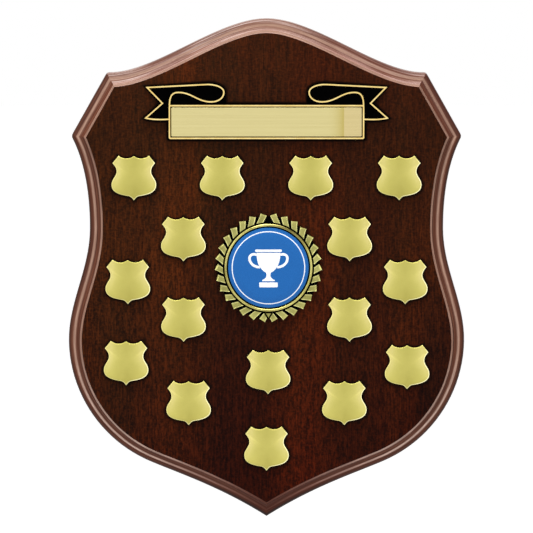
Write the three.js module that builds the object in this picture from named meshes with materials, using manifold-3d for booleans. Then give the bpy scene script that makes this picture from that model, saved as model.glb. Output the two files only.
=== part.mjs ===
// Perpetual award shield that hangs on a wall.
// A routed wooden board carries small metal shields for the yearly names, a ribbon with a
// title plate, and a laurel wreath round a centre disc. The back has a recessed keyhole hanger.
// Millimetres. The back lies on the wall plane y = 0, the front faces -Y and +Z is up.
// Heights are measured from a piece's back towards the front, so height h lies at y = -h.
import * as THREE from "three";
import { mergeVertices } from "three/addons/utils/BufferGeometryUtils.js";
import Module from "manifold-3d";

const wasm = await Module();
wasm.setup();

// Clearances
const cutClearance = 0.3;
const overrun = 1;

// Board outline and thicknesses
const boardHeight = 310;
const boardWidth = 245.5;
const coreThickness = 13.8;
const faceVeneerThickness = 0.6;
const backVeneerThickness = 0.6;

// Routed edge, from the side wall inwards: bead, ledge, cove and lip
const beadRadius = 3;
const ledgeWidth = 1;
const coveRadius = 3;
const lipWidth = 1.3;
const lipRise = 0.5;
const lipStep = 0.9;
const backArris = 0.5;

// Yearly shields and the pads behind them
const yearShieldWidth = 27.6;
const yearShieldHeight = 27.6;
const yearShieldEdge = 0.9;
const yearRimWidth = 0.7;
const yearRimRise = 0.25;
const yearRimSlope = 0.35;
const yearDomeRise = 0.75;
const yearPadSize = 14;
const yearPadCorner = 2;
const padThickness = 1;

// Ribbon plate, its raised line and the title plate
const ribbonHalfWidth = 74.3;
const ribbonRise = 33.2;
const ribbonThickness = 1.2;
const ribbonMargin = 0.8;
const titleFrameWidth = 119.4;
const titleFrameHeight = 20.1;
const titleLineWidth = 1.15;
const titleLineHeight = 0.55;
const giltLineWidth = 1;
const giltLineHeight = 0.5;
const giltCrownShare = 0.7;
const titlePlateGap = 0.5;
const titlePlateThickness = 0.7;
const titlePlateBevel = 0.25;
const titlePlateCorner = 0.5;
const titleFrameInnerCorner = 0.3;
const ribbonPadInset = 4;
const tailPadWidth = 16;
const tailPadHeight = 8;
const ribbonPadCorner = 1.5;

// Laurel wreath, bezel and centre disc
const discRadius = 25;
const discThickness = 1.5;
const discBevel = 0.3;
const discGap = 0.45;
const discTapeRadius = 21;
const discTapeThickness = 0.3;
const bezelWidth = 1.85;
const bezelHeight = 3;
const bezelBevel = 0.5;
const recessFloor = 0.8;
const grooveWidth = 0.7;
const wreathBaseRadius = 31.8;
const wreathBaseHeight = 1.1;
const leafReach = 5;
const leafSideReach = 4.2;
const leafWidth = 4.1;
const leafRootWidth = 3.2;
const leafEdgeHeight = 1.9;
const leafRidgeHeight = 2.5;
const leafSweep = 3;
const leafFirstAngle = 5.9;
const leafGap = 0.8;
const budHalfWidth = 2.1;
const budLength = 3.4;
const budHeight = 2.3;
const wreathPadRadius = 24;

// Keyhole hanger and its screws
const hangerDrop = 37;
const hangerWidth = 16;
const hangerHeight = 42;
const hangerThickness = 1.5;
const keyholeEntryRadius = 4.5;
const keyholeSlotRadius = 2.25;
const keyholeTravel = 10;
const keyholeEntryDrop = 4;
const pocketMargin = 2;
const pocketDepth = 8;
const screwSpacing = 32;
const screwHeadRadius = 2.9;
const screwShankRadius = 1.5;
const screwHeadDepth = 1.3;
const screwLength = 10;
const screwTaper = 2;

// Numbers of segments, for the two outlines one number per side
const curveSteps = 24;
const roundSegments = 48;
const smallRoundSegments = 16;
const cornerSteps = 3;
const padCornerSteps = 2;
const leafPairs = 15;
const boardCounts = [24, 1, 30, 30, 1];
const yearCounts = [3, 1, 12, 12, 1, 3];
const mouldSteps = 2;
const scrollSteps = 5;
const footSteps = 3;

// Furthest that a mitred corner may reach, in times the sideways distance
const lineMitreLimit = 3;
const plateMitreLimit = 1.5;

// Heights that follow from the stack of layers
const coreFront = backVeneerThickness + coreThickness;
const boardFront = coreFront + faceVeneerThickness;
const mouldingWidth = beadRadius + ledgeWidth + coveRadius + lipWidth;

// Materials
function finish(color, roughness, metalness) {
  return new THREE.MeshStandardMaterial({ color, roughness, metalness, flatShading: true });
}
const stainedWood = finish(0x5a3224, 0.45, 0);
const darkVeneer = finish(0x3a1d12, 0.4, 0);
const backWood = finish(0x6b4632, 0.6, 0);
const giltMetal = finish(0xcfc571, 0.3, 1);
const paleGilt = finish(0xdbcf8c, 0.25, 1);
const blackEnamel = finish(0x060606, 0.2, 0);
const blueDisc = finish(0x2d6db4, 0.3, 0);
const padFoam = finish(0xd8d6cf, 0.9, 0);
const plainSteel = finish(0xa5a6a8, 0.35, 1);

const shield = new THREE.Group();

function addPiece(name, geometry, material, group = shield) {
  const mesh = new THREE.Mesh(geometry, material);
  mesh.name = name;
  group.add(mesh);
  return mesh;
}

function addGroup(x, height, z) {
  const group = new THREE.Group();
  group.position.set(x, -height, z);
  shield.add(group);
  return group;
}

// Closed solids and the booleans between them
function asSolid(geometry) {
  const bare = geometry.clone();
  bare.deleteAttribute("normal");
  bare.deleteAttribute("uv");
  const merged = mergeVertices(bare);
  return new wasm.Manifold(
    new wasm.Mesh({
      numProp: 3,
      vertProperties: new Float32Array(merged.attributes.position.array),
      triVerts: new Uint32Array(merged.index.array),
    }),
  );
}

function asGeometry(solid) {
  const mesh = solid.getMesh();
  const geometry = new THREE.BufferGeometry();
  geometry.setAttribute("position", new THREE.BufferAttribute(mesh.vertProperties, 3));
  geometry.setIndex(new THREE.BufferAttribute(mesh.triVerts, 1));
  return geometry;
}

function cut(geometry, cutters) {
  return asGeometry(cutters.reduce((left, cutter) => left.subtract(asSolid(cutter)), asSolid(geometry)));
}

function join(geometries) {
  return asGeometry(geometries.map(asSolid).reduce((whole, next) => whole.add(next)));
}

// Triangles over a flat ring of points, turning the same way as x towards z
function capTriangles(points) {
  return THREE.ShapeUtils.triangulateShape(points, []).map(([a, b, c]) =>
    THREE.ShapeUtils.area([points[a], points[b], points[c]]) > 0 ? [a, b, c] : [a, c, b],
  );
}

// A closed solid through rings of equal count, from the back ring to the front ring.
// Each ring is { points, height }, with its points clockwise as seen from the front.
function loft(rings) {
  const count = rings[0].points.length;
  const positions = rings.flatMap(({ points, height }) => points.flatMap((p) => [p.x, -height, p.y]));
  const index = [];
  for (let ring = 0; ring + 1 < rings.length; ring++)
    for (let i = 0; i < count; i++) {
      const back = ring * count + i;
      const backNext = ring * count + ((i + 1) % count);
      index.push(back, back + count, backNext, backNext, back + count, backNext + count);
    }
  const last = (rings.length - 1) * count;
  for (const [a, b, c] of capTriangles(rings[0].points)) index.push(a, c, b);
  for (const [a, b, c] of capTriangles(rings.at(-1).points)) index.push(last + a, last + b, last + c);
  const geometry = new THREE.BufferGeometry();
  geometry.setAttribute("position", new THREE.Float32BufferAttribute(positions, 3));
  geometry.setIndex(index);
  return geometry;
}

// A flat plate between two heights
function plate(points, back, front) {
  return loft([
    { points, height: back },
    { points, height: front },
  ]);
}

// A solid of revolution about the Y axis. The profile runs from the front to the back.
function revolve(profile, segments) {
  return new THREE.LatheGeometry(
    profile.map(([radius, height]) => new THREE.Vector2(radius, -height)),
    segments,
  );
}

// A rounded rectangle, clockwise from its top right corner
function roundedRectangle(width, height, corner, steps = cornerSteps) {
  const centres = [
    [1, 1],
    [1, -1],
    [-1, -1],
    [-1, 1],
  ];
  return centres.flatMap(([sideX, sideZ], turn) =>
    Array.from({ length: steps + 1 }, (_, step) => {
      const angle = ((1 - turn - step / steps) * Math.PI) / 2;
      return new THREE.Vector2(
        sideX * (width / 2 - corner) + corner * Math.cos(angle),
        sideZ * (height / 2 - corner) + corner * Math.sin(angle),
      );
    }),
  );
}

// Outlines made of sides: each side is a smooth run of points between two sharp corners,
// and the sides follow each other clockwise as seen from the front.
function curve(from, handleFrom, handleTo, to) {
  return new THREE.CubicBezierCurve(from, handleFrom, handleTo, to).getPoints(curveSteps);
}

function chain(...runs) {
  return runs.flatMap((run, i) => (i ? run.slice(1) : run));
}

function mirrored(side) {
  return side.map((p) => new THREE.Vector2(-p.x, p.y)).reverse();
}

// A run moved to its right-hand side, which is inwards on a clockwise outline
function shiftedBy(side, distances) {
  return side.map((p, i) => {
    const along = side[Math.min(i + 1, side.length - 1)].clone().sub(side[Math.max(i - 1, 0)]);
    along.normalize();
    return new THREE.Vector2(p.x + along.y * distances[i], p.y - along.x * distances[i]);
  });
}

function shifted(side, distance) {
  return shiftedBy(
    side,
    side.map(() => distance),
  );
}

// The point where two segments cross, or null
function crossing(a, b, c, d) {
  const first = b.clone().sub(a);
  const second = d.clone().sub(c);
  const across = first.cross(second);
  if (across === 0) return null;
  const gap = c.clone().sub(a);
  const along = gap.cross(second) / across;
  const beside = gap.cross(first) / across;
  return along >= 0 && along <= 1 && beside >= 0 && beside <= 1 ? a.clone().lerp(b, along) : null;
}

// The mitre: where the end of one run meets the start of the next
function mitre(run, next) {
  for (let i = run.length - 2; i >= 0; i--)
    for (let j = 0; j + 1 < next.length; j++) {
      const point = crossing(run[i], run[i + 1], next[j], next[j + 1]);
      if (point) return { point, last: i, first: j + 1 };
    }
  return { point: run.at(-1), last: run.length - 2, first: 1 };
}

// The outline's sides moved inwards and cut where neighbours meet
function inset(sides, distance) {
  if (distance === 0) return sides;
  const runs = sides.map((side) => shifted(side, distance));
  const mitres = runs.map((run, i) => mitre(run, runs[(i + 1) % runs.length]));
  return runs.map((run, i) => {
    const start = mitres[(i + runs.length - 1) % runs.length];
    const end = mitres[i];
    return [start.point, ...run.slice(start.first, end.last + 1), end.point];
  });
}

// A ring of points, evenly spread along each side
function ring(sides, counts, distance = 0) {
  return inset(sides, distance).flatMap((side, i) =>
    new THREE.Path(side).getSpacedPoints(counts[i]).slice(0, -1),
  );
}

function scaledAbout(points, factor, centreZ) {
  return points.map((p) => new THREE.Vector2(p.x * factor, centreZ + (p.y - centreZ) * factor));
}

// Board outline, in shares of half the width and half the height
const boardShares = {
  crown: [0, 1],
  crownHandle: [0.25, 1],
  shoulderHandle: [0.574, 0.775],
  shoulder: [0.803, 0.785],
  ear: [0.983, 0.533],
  earHandle: [0.961, 0.498],
  waistTopHandle: [0.891, 0.391],
  waist: [0.891, 0.168],
  waistLowHandle: [0.891, 0.001],
  lobeTopHandle: [1, -0.128],
  lobe: [1, -0.286],
  lobeLowHandle: [1, -0.487],
  flankTopHandle: [0.851, -0.69],
  flank: [0.585, -0.779],
  flankLowHandle: [0.43, -0.831],
  tipHandle: [0.235, -0.882],
  tip: [0, -1],
};

function shareReader(shares, halfWidth, halfHeight) {
  return (name) => new THREE.Vector2(shares[name][0] * halfWidth, shares[name][1] * halfHeight);
}

function boardSides() {
  const at = shareReader(boardShares, boardWidth / 2, boardHeight / 2);
  const arch = curve(at("crown"), at("crownHandle"), at("shoulderHandle"), at("shoulder"));
  const chamfer = [at("shoulder"), at("ear")];
  const flank = chain(
    curve(at("ear"), at("earHandle"), at("waistTopHandle"), at("waist")),
    curve(at("waist"), at("waistLowHandle"), at("lobeTopHandle"), at("lobe")),
    curve(at("lobe"), at("lobeLowHandle"), at("flankTopHandle"), at("flank")),
    curve(at("flank"), at("flankLowHandle"), at("tipHandle"), at("tip")),
  );
  return [chain(mirrored(arch), arch), chamfer, flank, mirrored(flank), mirrored(chamfer)];
}
const boardOutline = boardSides();

function boardRing(distance) {
  return ring(boardOutline, boardCounts, distance);
}

// The routed edge as insets and heights, from the back to the core's front face
function mouldingProfile() {
  const lipFoot = coreFront - lipStep - lipRise;
  const ledgeHeight = lipFoot - coveRadius;
  const wallTop = ledgeHeight - beadRadius;
  const quarter = Array.from({ length: mouldSteps }, (_, i) => ((i + 1) / (mouldSteps + 1)) * (Math.PI / 2));
  const bead = quarter.map((a) => [beadRadius * (1 - Math.cos(a)), wallTop + beadRadius * Math.sin(a)]);
  const coveStart = beadRadius + ledgeWidth;
  const cove = quarter.map((a) => [
    coveStart + coveRadius * Math.sin(a),
    ledgeHeight + coveRadius * (1 - Math.cos(a)),
  ]);
  return [
    [backArris, backVeneerThickness],
    [0, backVeneerThickness + backArris],
    [0, wallTop],
    ...bead,
    [beadRadius, ledgeHeight],
    [coveStart, ledgeHeight],
    ...cove,
    [coveStart + coveRadius, lipFoot],
    [coveStart + coveRadius, lipFoot + lipRise],
    [mouldingWidth, lipFoot + lipRise],
    [mouldingWidth, coreFront],
  ];
}

// Keyhole hanger outlines
function stadium(radius, low, high) {
  const shift = (high + low) / 2;
  const steps = smallRoundSegments / 4;
  return roundedRectangle(radius * 2, high - low + radius * 2, radius, steps).map(
    (p) => new THREE.Vector2(p.x, p.y + shift),
  );
}

function placed(geometry, x, height, z) {
  return geometry.translate(x, -height, z);
}

const hangerZ = boardHeight / 2 - hangerDrop;
const entryZ = hangerZ - keyholeEntryDrop;
const slotTopZ = entryZ + keyholeTravel;
const screwPlaces = [
  ["hanger_screw_top", hangerZ + screwSpacing / 2],
  ["hanger_screw_bottom", hangerZ - screwSpacing / 2],
];

function hangerRing(margin) {
  const radius = hangerWidth / 2;
  const reach = hangerHeight / 2 - radius;
  return stadium(radius + margin, hangerZ - reach, hangerZ + reach);
}

function boardCore() {
  const body = loft(mouldingProfile().map(([distance, height]) => ({ points: boardRing(distance), height })));
  const recess = plate(hangerRing(cutClearance), 0, hangerThickness);
  const pocketRadius = keyholeEntryRadius + pocketMargin;
  const pocket = plate(stadium(pocketRadius, entryZ, slotTopZ), 0, hangerThickness + pocketDepth);
  const pilots = screwPlaces.map(([, z]) => {
    const radius = screwShankRadius + cutClearance;
    return placed(roundBar(radius, screwLength + overrun), 0, 0, z);
  });
  return cut(body, [recess, pocket, ...pilots]);
}

function roundBar(radius, length) {
  return revolve(
    [
      [0, length],
      [radius, length],
      [radius, 0],
      [0, 0],
    ],
    smallRoundSegments,
  );
}

addPiece("core_board", boardCore(), stainedWood);
addPiece("face_veneer", plate(boardRing(mouldingWidth), coreFront, boardFront), darkVeneer);
addPiece(
  "back_veneer",
  cut(plate(boardRing(backArris), 0, backVeneerThickness), [
    plate(hangerRing(cutClearance), -overrun, backVeneerThickness + overrun),
  ]),
  backWood,
);

// Keyhole hanger: a plate with a keyhole and two countersunk holes, flush with the back
function hangerPlate() {
  const entry = placed(roundBar(keyholeEntryRadius, hangerThickness + overrun * 2), 0, -overrun, entryZ);
  const slot = plate(stadium(keyholeSlotRadius, entryZ, slotTopZ), -overrun, hangerThickness + overrun);
  const sinks = screwPlaces.map(([, z]) =>
    placed(
      revolve(
        [
          [0, hangerThickness + overrun],
          [screwShankRadius + cutClearance, hangerThickness + overrun],
          [screwShankRadius + cutClearance, screwHeadDepth],
          [screwHeadRadius + cutClearance, 0],
          [screwHeadRadius + cutClearance, -overrun],
          [0, -overrun],
        ],
        smallRoundSegments,
      ),
      0,
      0,
      z,
    ),
  );
  return cut(plate(hangerRing(0), 0, hangerThickness), [entry, slot, ...sinks]);
}
addPiece("keyhole_plate", hangerPlate(), plainSteel);

function countersunkScrew() {
  return revolve(
    [
      [0, screwLength],
      [screwShankRadius, screwLength - screwTaper],
      [screwShankRadius, screwHeadDepth],
      [screwHeadRadius, 0],
      [0, 0],
    ],
    smallRoundSegments,
  );
}
for (const [name, z] of screwPlaces) addPiece(name, countersunkScrew(), plainSteel).position.z = z;

// Yearly shield outline, in shares of half the width and half the height
const yearShares = {
  peak: [0, 0.983],
  scallopStart: [0.2, 0.84],
  scallopEnd: [0.44, 0.82],
  horn: [0.68, 1],
  sideHorn: [0.95, 0.668],
  hornHandle: [0.86, 0.56],
  waistTopHandle: [0.77, 0.46],
  waist: [0.77, 0.29],
  waistLowHandle: [0.77, 0.09],
  lobeTopHandle: [1, -0.06],
  lobe: [1, -0.3],
  lobeLowHandle: [1, -0.62],
  neckOuterHandle: [0.72, -0.74],
  neck: [0.24, -0.81],
  neckInnerHandle: [0.13, -0.826],
  tipHandle: [0.07, -0.92],
  tip: [0, -1],
};

function yearSides() {
  const at = shareReader(yearShares, yearShieldWidth / 2, yearShieldHeight / 2);
  const scallop = curve(at("peak"), at("scallopStart"), at("scallopEnd"), at("horn"));
  const clip = [at("horn"), at("sideHorn")];
  const flank = chain(
    curve(at("sideHorn"), at("hornHandle"), at("waistTopHandle"), at("waist")),
    curve(at("waist"), at("waistLowHandle"), at("lobeTopHandle"), at("lobe")),
    curve(at("lobe"), at("lobeLowHandle"), at("neckOuterHandle"), at("neck")),
    curve(at("neck"), at("neckInnerHandle"), at("tipHandle"), at("tip")),
  );
  return [scallop, clip, flank, mirrored(flank), mirrored(clip), mirrored(scallop)];
}

// A yearly shield: a flat back, a raised rim and a domed field
function yearShield() {
  const sides = yearSides();
  const fieldInset = yearRimWidth + yearRimSlope;
  const field = ring(sides, yearCounts, fieldInset);
  const domeShares = [
    [0.6, 0.7],
    [0.25, 1],
  ];
  return loft([
    { points: ring(sides, yearCounts), height: 0 },
    { points: ring(sides, yearCounts), height: yearShieldEdge },
    { points: ring(sides, yearCounts, yearRimWidth), height: yearShieldEdge + yearRimRise },
    { points: field, height: yearShieldEdge },
    ...domeShares.map(([size, rise]) => ({
      points: scaledAbout(field, size, 0),
      height: yearShieldEdge + yearDomeRise * rise,
    })),
  ]);
}

// Centres of the yearly shields, in shares of half the board's width and height
const yearPlaceShares = [
  [-0.666, 0.37],
  [-0.222, 0.37],
  [0.222, 0.37],
  [0.666, 0.37],
  [-0.418, 0.126],
  [0.418, 0.126],
  [-0.698, -0.046],
  [0.698, -0.046],
  [-0.418, -0.197],
  [0.418, -0.197],
  [-0.708, -0.372],
  [0.709, -0.388],
  [0.008, -0.408],
  [-0.393, -0.533],
  [0.393, -0.533],
  [0, -0.717],
];
const yearGeometry = yearShield();
const yearPadGeometry = plate(
  roundedRectangle(yearPadSize, yearPadSize, yearPadCorner, padCornerSteps),
  0,
  padThickness,
);
yearPlaceShares.forEach(([across, up], i) => {
  const number = String(i + 1).padStart(2, "0");
  const group = addGroup((across * boardWidth) / 2, boardFront, (up * boardHeight) / 2);
  addPiece("shield_pad_" + number, yearPadGeometry, padFoam, group);
  addPiece("annual_shield_" + number, yearGeometry, giltMetal, group).position.y = -padThickness;
});

// Height of the title frame's foot and centre of the wreath, in shares of half the board's sizes
const ribbonFootShare = 0.529;
const wreathPlaceShares = [0.0098, 0.0123];

// The right half of the ribbon, in shares of its half width and of its rise over the baseline
const ribbonShares = {
  innerArch: [0.726, 0.852],
  archHandle: [0.62, 0.852],
  loopLowHandle: [0.57, 0.677],
  loopLow: [0.46, 0.677],
  loopTurnLow: [0.39, 0.677],
  loopTurnHigh: [0.353, 0.945],
  loopSide: [0.353, 0.852],
  loopSideLow: [0.353, 0.765],
  loopTopHandle: [0.415, 1],
  loopTop: [0.49, 1],
  tailTop: [0.988, 0.943],
  notch: [0.861, 0.65],
  tailLow: [1, 0.376],
  tailLowHandle: [0.945, 0.345],
  tailFootHandle: [0.87, 0.345],
};
const innerArchShare = 0.88;
const archSideShare = 0.45;
const tailFootShare = 0.355;

const titleFrameTop = titleFrameHeight;
const titleFrameSide = titleFrameWidth / 2;
const ribbonAt = shareReader(ribbonShares, ribbonHalfWidth, ribbonRise);

// The line from the loop's side over the top of the tail and down to the title frame
function tailRun(side) {
  const foot = new THREE.Vector2(side, tailFootShare * ribbonRise);
  const over = new THREE.CubicBezierCurve(
    ribbonAt("loopSide"),
    ribbonAt("loopTurnHigh"),
    ribbonAt("loopTopHandle"),
    ribbonAt("loopTop"),
  ).getPoints(scrollSteps);
  const under = new THREE.CubicBezierCurve(
    ribbonAt("tailLow"),
    ribbonAt("tailLowHandle"),
    ribbonAt("tailFootHandle"),
    foot,
  ).getPoints(footSteps);
  return [...over, ribbonAt("tailTop"), ribbonAt("notch"), ...under];
}

// The line from the title frame's corner up over the inner arch and round under the loop
function loopRun() {
  const corner = new THREE.Vector2(titleFrameSide, titleFrameTop);
  const archRise = ribbonAt("innerArch").y - titleFrameTop;
  const archReach = titleFrameSide - ribbonAt("innerArch").x;
  const up = new THREE.CubicBezierCurve(
    corner,
    new THREE.Vector2(titleFrameSide, titleFrameTop + archRise * innerArchShare),
    new THREE.Vector2(titleFrameSide - archReach * archSideShare, ribbonAt("innerArch").y),
    ribbonAt("innerArch"),
  ).getPoints(scrollSteps);
  const down = new THREE.CubicBezierCurve(
    ribbonAt("innerArch"),
    ribbonAt("archHandle"),
    ribbonAt("loopLowHandle"),
    ribbonAt("loopLow"),
  ).getPoints(scrollSteps);
  const round = new THREE.CubicBezierCurve(
    ribbonAt("loopLow"),
    ribbonAt("loopTurnLow"),
    ribbonAt("loopSideLow"),
    ribbonAt("loopSide"),
  ).getPoints(scrollSteps);
  return chain(up, down, round);
}

// A run moved sideways with its corners mitred, no further than a limit
function offsetRun(run, distance, limit) {
  return run.map((p, i) => {
    const before = i > 0 ? p.clone().sub(run[i - 1]).normalize() : null;
    const after = i + 1 < run.length ? run[i + 1].clone().sub(p).normalize() : null;
    const first = before ?? after;
    const second = after ?? before;
    const across = new THREE.Vector2(first.y + second.y, -(first.x + second.x)).normalize();
    const stretch = Math.min(limit, 1 / Math.abs(across.x * first.y - across.y * first.x));
    return p.clone().addScaledVector(across, distance * stretch);
  });
}

// A closed solid between rails. Each rail is one edge of the section, { points, height }, and the
// rails go round the section so that their order is clockwise as seen along the run.
function sweep(rails) {
  const size = rails.length;
  const stations = rails[0].points.length;
  const positions = rails[0].points.flatMap((_, i) =>
    rails.flatMap(({ points, height }) => [points[i].x, -height, points[i].y]),
  );
  const index = [];
  for (let i = 0; i + 1 < stations; i++)
    for (let k = 0; k < size; k++) {
      const here = i * size + k;
      const beside = i * size + ((k + 1) % size);
      index.push(here, here + size, beside, beside, here + size, beside + size);
    }
  const end = (stations - 1) * size;
  for (let k = 1; k + 1 < size; k++) index.push(0, k, k + 1, end, end + k + 1, end + k);
  const geometry = new THREE.BufferGeometry();
  geometry.setAttribute("position", new THREE.Float32BufferAttribute(positions, 3));
  geometry.setIndex(index);
  return geometry;
}

// A raised line with sloping sides along an open run
function raisedLine(run) {
  const rail = (side, height) => ({
    points: offsetRun(run, (side * giltLineWidth) / 2, lineMitreLimit),
    height,
  });
  return sweep([
    rail(1, 0),
    rail(giltCrownShare, giltLineHeight),
    rail(-giltCrownShare, giltLineHeight),
    rail(-1, 0),
  ]);
}

function flipped(geometry) {
  const copy = geometry.clone().scale(-1, 1, 1);
  const index = copy.index.array;
  for (let i = 0; i < index.length; i += 3) [index[i + 1], index[i + 2]] = [index[i + 2], index[i + 1]];
  return copy;
}

// The plate under the ribbon: the title frame's rectangle and a tail on each side
function ribbonPlate() {
  const margin = giltLineWidth / 2 + ribbonMargin;
  const panel = placed(
    plate(
      roundedRectangle(titleFrameWidth + margin * 2, titleFrameHeight + margin * 2, giltLineWidth),
      0,
      ribbonThickness,
    ),
    0,
    0,
    titleFrameHeight / 2,
  );
  const run = tailRun(titleFrameSide);
  const edge = offsetRun(run, -margin, plateMitreLimit);
  const outline = [new THREE.Vector2(edge[0].x, titleFrameTop), ...edge];
  const tail = plate(outline, 0, ribbonThickness);
  return join([panel, tail, flipped(tail)]);
}

function titleFrame() {
  const outer = roundedRectangle(
    titleFrameWidth + titleLineWidth,
    titleFrameHeight + titleLineWidth,
    titleLineWidth,
  );
  const inner = roundedRectangle(
    titleFrameWidth - titleLineWidth,
    titleFrameHeight - titleLineWidth,
    titleFrameInnerCorner,
  );
  return placed(
    cut(plate(outer, 0, titleLineHeight), [plate(inner, -overrun, titleLineHeight + overrun)]),
    0,
    0,
    titleFrameHeight / 2,
  );
}

function giltLine() {
  const scroll = raisedLine([...loopRun(), ...tailRun(titleFrameSide).slice(1)]);
  return join([titleFrame(), scroll, flipped(scroll)]);
}

function titlePlate() {
  const width = titleFrameWidth - titleLineWidth - titlePlateGap * 2;
  const height = titleFrameHeight - titleLineWidth - titlePlateGap * 2;
  const bevelled = (distance) =>
    roundedRectangle(width - distance * 2, height - distance * 2, titlePlateCorner - distance);
  return loft([
    { points: bevelled(0), height: 0 },
    { points: bevelled(0), height: titlePlateThickness - titlePlateBevel },
    { points: bevelled(titlePlateBevel), height: titlePlateThickness },
  ]);
}

const ribbonGroup = addGroup(0, boardFront, (ribbonFootShare * boardHeight) / 2);
addPiece("ribbon_plate", ribbonPlate(), blackEnamel, ribbonGroup).position.y = -padThickness;
const lineFoot = padThickness + ribbonThickness;
addPiece("ribbon_gilt_line", giltLine(), giltMetal, ribbonGroup).position.y = -lineFoot;
addPiece("title_plate", titlePlate(), paleGilt, ribbonGroup).position.set(0, -lineFoot, titleFrameHeight / 2);
addPiece(
  "ribbon_pad_centre",
  plate(
    roundedRectangle(
      titleFrameWidth - ribbonPadInset * 2,
      titleFrameHeight - ribbonPadInset * 2,
      ribbonPadCorner,
      padCornerSteps,
    ),
    0,
    padThickness,
  ),
  padFoam,
  ribbonGroup,
).position.z = titleFrameHeight / 2;
const tailPadX = (ribbonAt("loopTop").x + ribbonAt("innerArch").x) / 2;
const tailPadZ = (ribbonAt("loopTop").y + ribbonAt("loopLow").y) / 2;
for (const [side, sign] of [
  ["left", -1],
  ["right", 1],
]) {
  const outline = roundedRectangle(tailPadWidth, tailPadHeight, ribbonPadCorner, padCornerSteps);
  const pad = plate(outline, 0, padThickness);
  addPiece("ribbon_pad_" + side, pad, padFoam, ribbonGroup).position.set(sign * tailPadX, 0, tailPadZ);
}

// Laurel wreath: a round casting with a bezel, a groove and slanted leaves on both sides
const bezelInner = discRadius + discGap;
const bezelOuter = bezelInner + bezelWidth;
const leafInner = bezelOuter + grooveWidth;
const leafOuter = leafInner + leafReach;

function wreathBody() {
  return revolve(
    [
      [0, recessFloor],
      [bezelInner, recessFloor],
      [bezelInner, bezelHeight - bezelBevel],
      [bezelInner + bezelBevel, bezelHeight],
      [bezelOuter - bezelBevel, bezelHeight],
      [bezelOuter, bezelHeight - bezelBevel],
      [bezelOuter, wreathBaseHeight],
      [wreathBaseRadius, wreathBaseHeight],
      [wreathBaseRadius, 0],
      [0, 0],
    ],
    roundSegments,
  );
}

// A leaf that leans towards the top as it leaves the bezel. Its tip stands at the given angle
// from the top, on the right-hand side. Leaves at the sides are a little shorter.
function leaf(tipAngle) {
  const stationShares = [
    [-0.25, -0.3],
    [0.45, 0.52],
    [1, 1],
  ];
  const reach = leafReach + (leafSideReach - leafReach) * Math.sin(tipAngle) ** 2;
  const sweepLength = (leafSweep * reach) / leafReach;
  const centres = stationShares.map(([out, swept]) => {
    const radius = leafInner + reach * out;
    const angle = tipAngle + (sweepLength * (1 - swept)) / radius;
    return new THREE.Vector2(radius * Math.sin(angle), radius * Math.cos(angle));
  });
  const halfWidths = stationShares.map(
    ([out]) => (leafRootWidth + (leafWidth - leafRootWidth) * out) / 2,
  );
  const rail = (side, height) => ({
    points: shiftedBy(
      centres,
      halfWidths.map((half) => side * half),
    ),
    height,
  });
  return sweep([
    rail(1, 0),
    rail(1, leafEdgeHeight),
    rail(0, leafRidgeHeight),
    rail(-1, leafEdgeHeight),
    rail(-1, 0),
  ]);
}

// The bud at the bottom centre, and the slot that keeps the lowest leaves clear of it
function bud(margin) {
  const top = -leafInner + overrun;
  return [
    new THREE.Vector2(-budHalfWidth - margin, top),
    new THREE.Vector2(budHalfWidth + margin, top),
    new THREE.Vector2(margin / 2, -leafInner - budLength - margin),
    new THREE.Vector2(-margin / 2, -leafInner - budLength - margin),
  ];
}

function wreath() {
  const pitch = 360 / (leafPairs * 2);
  const angles = Array.from({ length: leafPairs }, (_, i) =>
    THREE.MathUtils.degToRad(leafFirstAngle + pitch * i),
  );
  const leaves = angles.flatMap((angle) => [leaf(angle), flipped(leaf(angle))]);
  const bore = revolve(
    [
      [0, leafRidgeHeight + overrun],
      [leafInner, leafRidgeHeight + overrun],
      [leafInner, -overrun],
      [0, -overrun],
    ],
    roundSegments,
  );
  const slotHeight = leafRidgeHeight + overrun;
  const slot = [
    new THREE.Vector2(leafGap / 2, -leafInner),
    new THREE.Vector2(leafGap / 2, -leafOuter - leafReach),
    new THREE.Vector2(-leafGap / 2, -leafOuter - leafReach),
    new THREE.Vector2(-leafGap / 2, -leafInner),
  ];
  const trimmed = cut(join(leaves), [
    bore,
    plate(bud(leafGap), -overrun, slotHeight),
    plate(slot, -overrun, slotHeight),
  ]);
  const budPlate = plate(
    bud(0).filter((_, i) => i < 3),
    0,
    budHeight,
  );
  return join([wreathBody(), trimmed, cut(budPlate, [bore])]);
}

function revolvedDisc(radius, thickness) {
  return revolve(
    [
      [0, thickness],
      [radius, thickness],
      [radius, 0],
      [0, 0],
    ],
    roundSegments,
  );
}

const wreathGroup = addGroup(
  (wreathPlaceShares[0] * boardWidth) / 2,
  boardFront,
  (wreathPlaceShares[1] * boardHeight) / 2,
);
addPiece("wreath_pad", revolvedDisc(wreathPadRadius, padThickness), padFoam, wreathGroup);
addPiece("wreath_casting", wreath(), giltMetal, wreathGroup).position.y = -padThickness;

function centreDisc() {
  return revolve(
    [
      [0, discThickness],
      [discRadius - discBevel, discThickness],
      [discRadius, discThickness - discBevel],
      [discRadius, discBevel],
      [discRadius - discBevel, 0],
      [0, 0],
    ],
    roundSegments,
  );
}
const discTape = revolvedDisc(discTapeRadius, discTapeThickness);
const tapeFoot = padThickness + recessFloor;
addPiece("disc_tape", discTape, padFoam, wreathGroup).position.y = -tapeFoot;
addPiece("centre_disc", centreDisc(), blueDisc, wreathGroup).position.y = -(tapeFoot + discTapeThickness);

export default shield;
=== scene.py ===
import math
from functools import reduce

import bpy
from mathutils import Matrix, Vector
from mathutils.geometry import tessellate_polygon


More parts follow.
